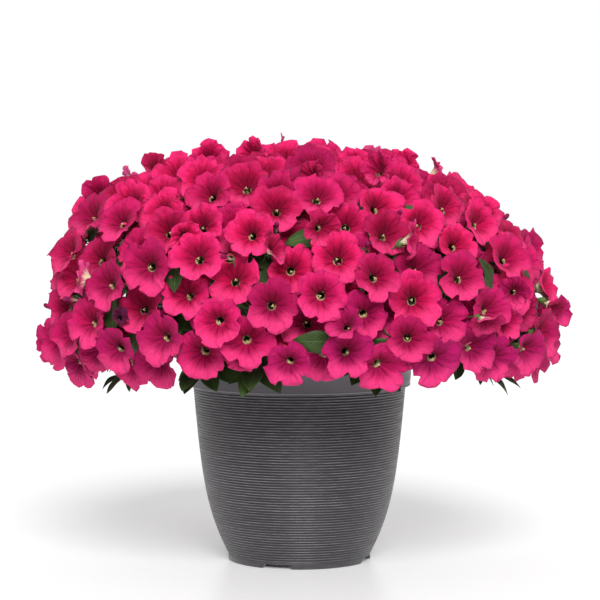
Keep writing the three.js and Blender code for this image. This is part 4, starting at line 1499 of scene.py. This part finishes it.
def petal_face_finish():
    finish = Finish("petal_face", 0.62, 0.06)
    share, across = bloom_map(finish)
    tone = finish.attribute("tone")
    pink = finish.mix(finish.sum("MULTIPLY", finish.step(share, 0.35, 1.0), 0.7), PETAL_PINK, PETAL_LIGHT)
    pink = finish.mix(finish.step(tone, 0.2, 1.0, 0.0, 0.58), pink, PETAL_DEEP)
    pink = finish.mix(finish.step(finish.noise(90, 3), 0.38, 0.68, 0.0, 0.35), pink, PETAL_DEEP)
    # Low blooms are painted darker and bluer: painted shade.
    pink = finish.mix(finish.attribute("shade"), pink, PETAL_BLUE_PAINTED_SHADE)
    # The uphill part of each limb near the throat is painted deeper pink: painted shade where the funnel
    # faces down.
    painted_shade_uphill = finish.step(finish.attribute("rise"), -0.3, 0.9, 0.2, 0.75)
    pink = finish.mix(finish.sum("MULTIPLY", finish.step(share, 0.8, 0.2), painted_shade_uphill), pink, PETAL_DEEP)
    # The downhill lobes are painted lighter: a painted highlight where the funnel faces up.
    painted_highlight_downhill = finish.step(finish.attribute("rise"), 0.0, -0.8, 0.0, 0.55)
    pink = finish.mix(finish.sum("MULTIPLY", finish.step(share, 0.25, 0.7), painted_highlight_downhill), pink, PETAL_PAINTED_HIGHLIGHT)
    veins = vein_share(finish, share, across)
    pink = finish.mix(veins, pink, PETAL_VEIN)
    pink = finish.mix(finish.attribute("limp"), pink, PETAL_LIMP)
    # The throat ring is cream on its downhill side and painted olive on its uphill side: painted shade inside
    # the funnel.
    crescent_with_painted_shade = finish.mix(finish.step(finish.attribute("rise"), -0.05, 0.5), THROAT_CREAM, THROAT_OLIVE)
    crescent_with_painted_shade = finish.mix(finish.sum("MULTIPLY", tone, 0.5), crescent_with_painted_shade, PETAL_DEEP)
    ring = finish.mix(finish.step(share, 0.168, 0.148), pink, crescent_with_painted_shade)
    finish.colour(finish.mix(finish.step(share, 0.128, 0.112), ring, THROAT_OLIVE))
    finish.bump(finish.sum("SUBTRACT", pleats(finish, share, across), veins), 0.7, 0.0012)
    finish.shader.inputs["Sheen Weight"].default_value = 0.04
    finish.shader.inputs["Sheen Tint"].default_value = PETAL_SHEEN
    return finish.material


def petal_back_finish():
    finish = Finish("petal_back", 0.65, 0.2)
    share, across = bloom_map(finish)
    veins = vein_share(finish, share, across)
    pink = finish.mix(finish.sum("MULTIPLY", finish.attribute("tone"), 0.3), BACK_PINK, PETAL_PINK)
    pink = finish.mix(finish.sum("MULTIPLY", veins, 0.35), pink, PETAL_DEEP)
    pink = finish.mix(finish.attribute("limp"), pink, PETAL_LIMP)
    finish.colour(finish.mix(finish.step(share, 0.6, 0.2), pink, BACK_CREAM))
    finish.bump(pleats(finish, share, across), 0.5, 0.001)
    return finish.material


petal_sides = [petal_face_finish(), petal_back_finish()]
shape_draw = rnd.Random(SHAPE_SEED)
for spray in sprays:
    petals = make_petals(spray["name"] + "_blooms", spray["blooms"] + spray["hidden"], shape_draw)
    settle(petals, [spray["name"]], petal_sides)
print("triangles in the last spray's blooms:", triangles(petals))

# %% [markdown]
# Under each bloom a green calyx of five narrow sepals clasps the tube, and a thin stalk joins it to
# the stem. Stems and stalks are tubes along curves, which Blender's own curve bevel makes, with a
# round section and closed ends. The inside of a calyx is painted near black as shade, because it lies at the
# bottom of the throat.

# %% Make the stems and stalks
STEM_THICK = 2.6
STEM_THIN = 1.7
STALK_THIN = 0.8
STALK_THICK = 1.15
CURVE_STEPS = 14
CALYX_RUN = 5.5
STALK_SAG = 0.06
STALK_LEADS = (0.02, 0.08)
STEM_PARTS = (0, 0.25, 0.5, 0.75)


def fine_stem(stem):
    """Points up a stem: in its hole, through its collar and along its curve."""
    foot, handles = stem_curve(stem["place"], stem["tip"], stem["direction"])
    return [foot] + [curve_point(handles, i / CURVE_STEPS) for i in range(CURVE_STEPS + 1)]


def flower_base(flower):
    """Where a bloom or bud starts from its calyx, and the direction from there to its root."""
    if "length" in flower:
        return flower["base"], -flower["axis"]
    end, inward = tube_end(flower)
    return end + inward * CALYX_RUN, inward


def flowers_of(spray):
    return spray["blooms"] + spray["hidden"] + spray["buds"]


def stalk(flower, stem_points):
    start, inward = flower_base(flower)
    end = min(stem_points, key=lambda point: span(point, flower["root"]))
    run = span(start, end)
    middle = (start + end) / 2 - UP * (STALK_SAG * run) + inward * (STALK_LEADS[1] * run)
    return [start, (start + middle) / 2 + inward * (STALK_LEADS[0] * run), middle, (middle + end) / 2, end]


def tubes(name, courses):
    """One mesh of closed tubes. A course is its points with a radius for each, in millimetres."""
    data = bpy.data.curves.new(name, "CURVE")
    data.dimensions = "3D"
    data.bevel_depth = MM
    data.bevel_resolution = 1
    data.use_fill_caps = True
    for points, radii in courses:
        spline = data.splines.new("POLY")
        spline.points.add(len(points) - 1)
        for point, place, radius in zip(spline.points, points, radii):
            point.co = (*(place * MM), 1)
            point.radius = radius
    line = bpy.data.objects.new(name, data)
    mesh = bpy.data.meshes.new_from_object(line)
    bpy.data.objects.remove(line)
    piece = add_object(name, mesh)
    smooth(piece)
    return piece


def tapered(points, thick, thin):
    """A course whose radius goes evenly from the first number to the second."""
    last = len(points) - 1
    return points, [thick + (thin - thick) * (i / last) for i in range(last + 1)]


def dense_stem(stem):
    """Close points along a stem, above its hole."""
    points = fine_stem(stem)[1:]
    return [points[i] + (points[i + 1] - points[i]) * part
            for i in range(len(points) - 1) for part in STEM_PARTS]


def spray_courses(spray):
    stem_points, dense = fine_stem(spray), dense_stem(spray)
    stalks = [tapered(stalk(flower, dense), STALK_THIN, STALK_THICK) for flower in flowers_of(spray)]
    return [tapered(stem_points, STEM_THICK, STEM_THIN)] + stalks


# %% Make the calyxes
CALYX_OUTLINE = ((1.0, 0.0), (3.2, 2.2), (4.2, 5.0), (4.8, 8.0))
SEPAL_REACH = 4.5
SEPAL_FLARE = 1.4
SEPAL_CLEFT = 2.2
SEPAL_THICKNESS = 0.5
STALK_GREENS = seen(58, 80, 34), seen(96, 122, 58)
CALYX_GREENS = seen(62, 88, 36), seen(104, 132, 62)
CALYX_INSIDE_PAINTED_SHADE = seen(26, 26, 12), seen(40, 38, 18)


def calyx_pattern():
    """A cup of ten sides, whose rim is drawn out into five sepals."""
    bm = spun(CALYX_OUTLINE, 2 * LOBES)
    rim = [vert for vert in bm.verts if vert.co.z > CALYX_OUTLINE[-2][1]]
    for vert in rim:
        if corner_of(vert) % 2 == 0:
            vert.co.z += SEPAL_REACH
            vert.co.xy *= 1 + SEPAL_FLARE / vert.co.xy.length
        else:
            vert.co.z -= SEPAL_CLEFT
    bmesh.ops.recalc_face_normals(bm, faces=bm.faces)
    widest = widest_face(bm)
    if widest.normal.xy.dot(widest.calc_center_median().xy) < 0:
        bmesh.ops.reverse_faces(bm, faces=bm.faces)
    return pattern_of("calyx_pattern", bm)


calyx_mesh, calyx_points = calyx_pattern()


def shaped_calyx(flower):
    base, inward = flower_base(flower)
    side = unit(square_to(flower["side"], inward))
    front = np.cross(-inward, side)
    return base + calyx_points[:, :1] * side + calyx_points[:, 1:2] * front - calyx_points[:, 2:] * inward


def green_finish(name, dark, light):
    finish = Finish(name, 0.6, 0.3)
    finish.colour(finish.mix(finish.step(finish.noise(60, 2), 0.3, 0.7), dark, light))
    finish.shader.inputs["Sheen Weight"].default_value = 0.2
    return finish.material


stalk_green = green_finish("stalk_green", *STALK_GREENS)
# The inner faces of the sepals are painted dark: painted shade at the bottom of the throat.
calyx_sides = [green_finish("calyx_green", *CALYX_GREENS), green_finish("calyx_inside_painted_shade", *CALYX_INSIDE_PAINTED_SHADE)]
for spray in sprays:
    name = spray["name"]
    settle(tubes(name + "_stalks", spray_courses(spray)), [name], [stalk_green])
    calyxes = repeat(name + "_calyxes", calyx_mesh, [shaped_calyx(flower) for flower in flowers_of(spray)])
    add_thickness(calyxes, SEPAL_THICKNESS, back_slot=1)
    settle(calyxes, [name], calyx_sides)
print("triangles in the last calyxes:", triangles(calyxes))

# %% [markdown]
# A pale stigma and a ring of small cream anthers stand in each throat.

# %% Make the stamens
ANTHERS = 3
ANTHER_DEPTH = 12.5
ANTHER_CIRCLE = 1.3
ANTHER_SIZE = 0.8
STIGMA_DEPTH = 11.3
STIGMA_SIZE = 1.0
POLLEN_LIGHT = seen(222, 212, 160)
POLLEN_DARK = seen(190, 182, 110)


def make_stamens(name, blooms):
    bm = bmesh.new()
    grains = [(0, 0, STIGMA_DEPTH, STIGMA_SIZE)]
    grains += [(ANTHER_CIRCLE, i * TURN / ANTHERS, ANTHER_DEPTH, ANTHER_SIZE) for i in range(1, ANTHERS + 1)]
    for bloom in blooms:
        for radius, angle, depth, size in grains:
            place = Matrix.Translation(bloom_point(bloom, radius, angle, -depth) * MM)
            bmesh.ops.create_icosphere(bm, subdivisions=1, radius=size * MM, matrix=place)
    piece = link_mesh(name, bm)
    smooth(piece)
    return piece


stamen_finish = Finish("anthers", 0.7, 0.3)
stamen_finish.colour(stamen_finish.mix(stamen_finish.noise(400, 1), POLLEN_LIGHT, POLLEN_DARK))
for spray in sprays:
    stamens = make_stamens(spray["name"] + "_stamens", spray["blooms"] + spray["hidden"])
    settle(stamens, [spray["name"]], [stamen_finish.material])
print("stamens are in the throats")

# %% [markdown]
# A bud is a slender tube that swells into a furled spindle, with five pleats that twist round it. Its
# pattern is turned from a few points, then every other line of points is pushed out and the whole is
# twisted towards the tip.

# %% Make the buds
BUD_OUTLINE = ((0, 1.0), (0.5, 1.0), (2.6, 0.95), (3.2, 0.82), (1.9, 0.6), (1.7, 0.3), (1.3, 0.0))
BUD_PLEAT = 0.35
BUD_PLEATS_FROM = 0.25
BUD_TWIST = 1.6
BUD_PINK = seen(150, 20, 84)
BUD_DEEP = seen(96, 10, 60)
BUD_PALE = seen(206, 168, 152)


def bud_pattern():
    bm = spun(BUD_OUTLINE, 2 * LOBES)
    bmesh.ops.recalc_face_normals(bm, faces=bm.faces)
    for vert in bm.verts:
        if corner_of(vert) % 2 == 0 and vert.co.z > BUD_PLEATS_FROM:
            vert.co.xy *= 1 + BUD_PLEAT * vert.co.z
        vert.co = Matrix.Rotation(BUD_TWIST * vert.co.z ** 2, 3, "Z") @ vert.co
    return pattern_of("bud_pattern", bm)


bud_mesh, bud_points = bud_pattern()


def shaped_bud(bud):
    return (bud["base"] + bud_points[:, :1] * bud["side"] + bud_points[:, 1:2] * bud["front"]
            + bud_points[:, 2:] * bud["length"] * bud["axis"])


def bud_finish():
    finish = Finish("bud", 0.6, 0.2)
    height = finish.attribute("height")
    dark = finish.mix(finish.noise(220, 3), BUD_PINK, BUD_DEEP)
    finish.colour(finish.mix(finish.step(height, 0.75, 0.35), dark, BUD_PALE))
    finish.bump(finish.noise(500, 2), 0.3, 0.0006)
    return finish.material


bud_material = bud_finish()
for spray in [spray for spray in sprays if spray["buds"]]:
    piece = repeat(spray["name"] + "_buds", bud_mesh, [shaped_bud(bud) for bud in spray["buds"]])
    set_attribute(piece, "height", np.tile(bud_points[:, 2], len(spray["buds"])))
    add_subdivision(piece)
    settle(piece, [spray["name"]], [bud_material])
print("faces in the pattern of a bud:", len(bud_mesh.polygons))

# %% [markdown]
# Leaves are soft ovals that narrow into a short stalk. The pattern is a flat grid with a map along and
# across the blade. A formula bends it along the leaf's own line, lifts both halves from the midrib and
# waves the margin. The visible leaves are rounded by subdivision, and the plain ones deep inside
# the dome, which only close it, keep the pattern's few faces.

# %% Shape the leaves
LEAF_ROWS = 7
LEAF_COLUMNS = 4
LEAF_STALK = 0.9
LEAF_FOLD = 0.16
LEAF_FOLD_POWER = 1.3
LEAF_RIPPLE = 1.0
LEAF_RIPPLES = 9
RIPPLE_FROM = 2
LEAF_SINK = 0.5
LEAF_THICKNESS = 0.5
FOLIAGE_SEED = 23
LEAF_DARK = seen(26, 43, 14)
LEAF_MIDDLE = seen(48, 71, 25)
LEAF_LIGHT = seen(72, 100, 38)
LEAF_VEIN = seen(96, 122, 60)


def leaf_pattern():
    bm = bmesh.new()
    bm.loops.layers.uv.new("leaf")
    bmesh.ops.create_grid(bm, x_segments=LEAF_COLUMNS, y_segments=LEAF_ROWS, size=1, calc_uvs=True)
    return pattern_of("leaf_pattern", bm)


leaf_mesh, leaf_grid = leaf_pattern()


def shaped_leaf(leaf, draw):
    share = (leaf_grid[:, 1] + 1) / 2
    across = leaf_grid[:, 0]
    swell = np.maximum(0, np.sin(math.pi * share ** LEAF_OUTLINE_POWER)) ** LEAF_OUTLINE_POWER
    half = np.maximum(leaf["width"] / 2 * swell, LEAF_STALK * (share < 0.5))
    lift = LEAF_ARCH * leaf["length"] * np.sin(math.pi * share * LEAF_ARCH_PEAK)
    fold = LEAF_FOLD * half * np.abs(across) ** LEAF_FOLD_POWER
    wave = np.sin(share * LEAF_RIPPLES + draw.random() * TURN)
    ripple = LEAF_RIPPLE * across * wave * (half > RIPPLE_FROM)
    height = lift + fold + ripple - LEAF_SINK
    return (leaf["base"] + (share * leaf["length"])[:, None] * leaf["midrib"]
            + (across * half)[:, None] * leaf["side"] + height[:, None] * leaf["upper"])


def make_foliage(name, leaves, draw, fine):
    foliage = repeat(name, leaf_mesh, [shaped_leaf(leaf, draw) for leaf in leaves])
    set_attribute(foliage, "tone", np.repeat([draw.random() for _ in leaves], len(leaf_grid)))
    if fine:
        add_subdivision(foliage)
    add_thickness(foliage, LEAF_THICKNESS)
    return foliage


def leaf_finish():
    finish = Finish("leaf_green", 0.5, 0.3)
    u, v = finish.uv("leaf")
    across = finish.sum("ABSOLUTE", finish.sum("SUBTRACT", u, 0.5))
    rib = finish.step(across, 0.035, 0.012)
    slant = finish.sum("SUBTRACT", finish.sum("MULTIPLY", v, 46), finish.sum("MULTIPLY", across, 38))
    side = finish.step(finish.sum("SINE", slant), 0.8, 1.0, 0.0, 0.6)
    veins = finish.sum("MAXIMUM", rib, side)
    green = finish.mix(finish.step(finish.noise(45, 3), 0.3, 0.7), LEAF_DARK, LEAF_MIDDLE)
    green = finish.mix(finish.sum("MULTIPLY", finish.attribute("tone"), 0.5), green, LEAF_LIGHT)
    finish.colour(finish.mix(finish.sum("MULTIPLY", veins, 0.35), green, LEAF_VEIN))
    finish.shader.inputs["Sheen Weight"].default_value = 0.05
    finish.bump(finish.sum("MULTIPLY", veins, -1), 0.5, 0.0008)
    return finish.material


leaf_green = leaf_finish()
leaf_draw = rnd.Random(FOLIAGE_SEED)
for stem in leafy_stems:
    name = stem["name"]
    foliage = make_foliage(name + "_leaves", stem["leaves"], leaf_draw, True)
    settle(foliage, [name], [leaf_green])
    stalk_piece = tubes(name + "_stalk", [tapered(fine_stem(stem), STEM_THICK, STEM_THIN)])
    settle(stalk_piece, [name], [stalk_green])
print("triangles in the last leafy stem:", triangles(foliage))

# %% [markdown]
# The sprays carry leaves too, on short stalks below and between their blooms. They close the dome, so
# that dark green shows in its gaps. A spiral spreads them evenly. Every other one lies level, so that
# the dome is closed from above too, and each is turned until it keeps clear of the blooms.

# %% Fill the dome with leaves
INNER_LEAVES = 760
INNER_PHASE = 0.7
INNER_DEPTHS = (24, 32, 40, 50)
INNER_TRIES = 28
INNER_SEED = 31
TUBE_STATIONS = np.linspace(0, 1, 7)[:, None]
TUBE_FROM = 7
TUBE_SPACE = 4.5
INNER_LEAF_RISE = (-0.35, 0.12)
INNER_LEAF_SIZES = (0.85, 1.3)
INNER_LEAF_BACK = 0.4
INNER_LEAF_GAP = 0.5
LEAF_STALK_BEND = 4
LEAF_STALK_END = 0.06


def tube_points(bloom):
    """Points along the middle of a bloom's tube."""
    start = bloom["face"] - bloom["axis"] * TUBE_FROM
    return start + TUBE_STATIONS * (tube_end(bloom)[0] - start)


def clear_of_tubes(leaf, points):
    offset = points - leaf["base"]
    along = offset @ leaf["midrib"] / leaf["length"]
    lift = LEAF_ARCH * leaf["length"] * np.sin(math.pi * np.clip(along, 0, 1) * LEAF_ARCH_PEAK)
    touching = ((along > 0) & (along < 1) & (np.abs(offset @ leaf["upper"] - lift) < TUBE_SPACE)
                & (np.abs(offset @ leaf["side"]) < leaf["width"] / 2 + TUBE_SPACE / 2))
    return not touching.any()


def inner_leaf(place, facing, draw):
    near = neighbours(place, blooms + hidden_blooms)
    tubes_near = np.concatenate([tube_points(bloom) for bloom in near])
    level = unit(np.cross(FRONT, facing))
    steep = np.cross(facing, level)
    for attempt in range(INNER_TRIES):
        depth = INNER_DEPTHS[attempt % len(INNER_DEPTHS)]
        angle = draw.random() * TURN
        rise = draw.uniform(*INNER_LEAF_RISE)
        midrib = unit(level * math.cos(angle) + steep * math.sin(angle) + facing * rise)
        length = LEAF_LENGTH * draw.uniform(*INNER_LEAF_SIZES)
        base = place["point"] - place["normal"] * depth - midrib * (length * INNER_LEAF_BACK)
        leaf = make_leaf(base, midrib, facing, length)
        if clear_of_tubes(leaf, tubes_near) and clear_of_blooms(leaf, near, INNER_LEAF_GAP):
            return leaf
    return None


def leaf_stalk(leaf, stem_points):
    end = min(stem_points, key=lambda point: span(point, leaf["base"]))
    middle = (leaf["base"] + end) / 2 - leaf["midrib"] * LEAF_STALK_BEND
    course = [leaf_point(leaf, LEAF_STALK_END, 0), leaf["base"], middle, end]
    return tapered(course, LEAF_STALK, STALK_THICK)


inner_draw = rnd.Random(INNER_SEED)
for spray in sprays:
    spray["leaves"] = []
for index, place in enumerate(spiral(INNER_LEAVES, INNER_PHASE)):
    leaf = inner_leaf(place, place["normal"] if index % 2 else UP, inner_draw)
    if leaf:
        nearest_spray(leaf["base"])["leaves"].append(leaf)
for spray in sprays:
    name = spray["name"]
    foliage = make_foliage(name + "_leaves", spray["leaves"], inner_draw, False)
    settle(foliage, [name], [leaf_green])
    dense = dense_stem(spray)
    stalks = tubes(name + "_leaf_stalks", [leaf_stalk(leaf, dense) for leaf in spray["leaves"]])
    settle(stalks, [name], [stalk_green])
print("inner leaves:", sum(len(spray["leaves"]) for spray in sprays))
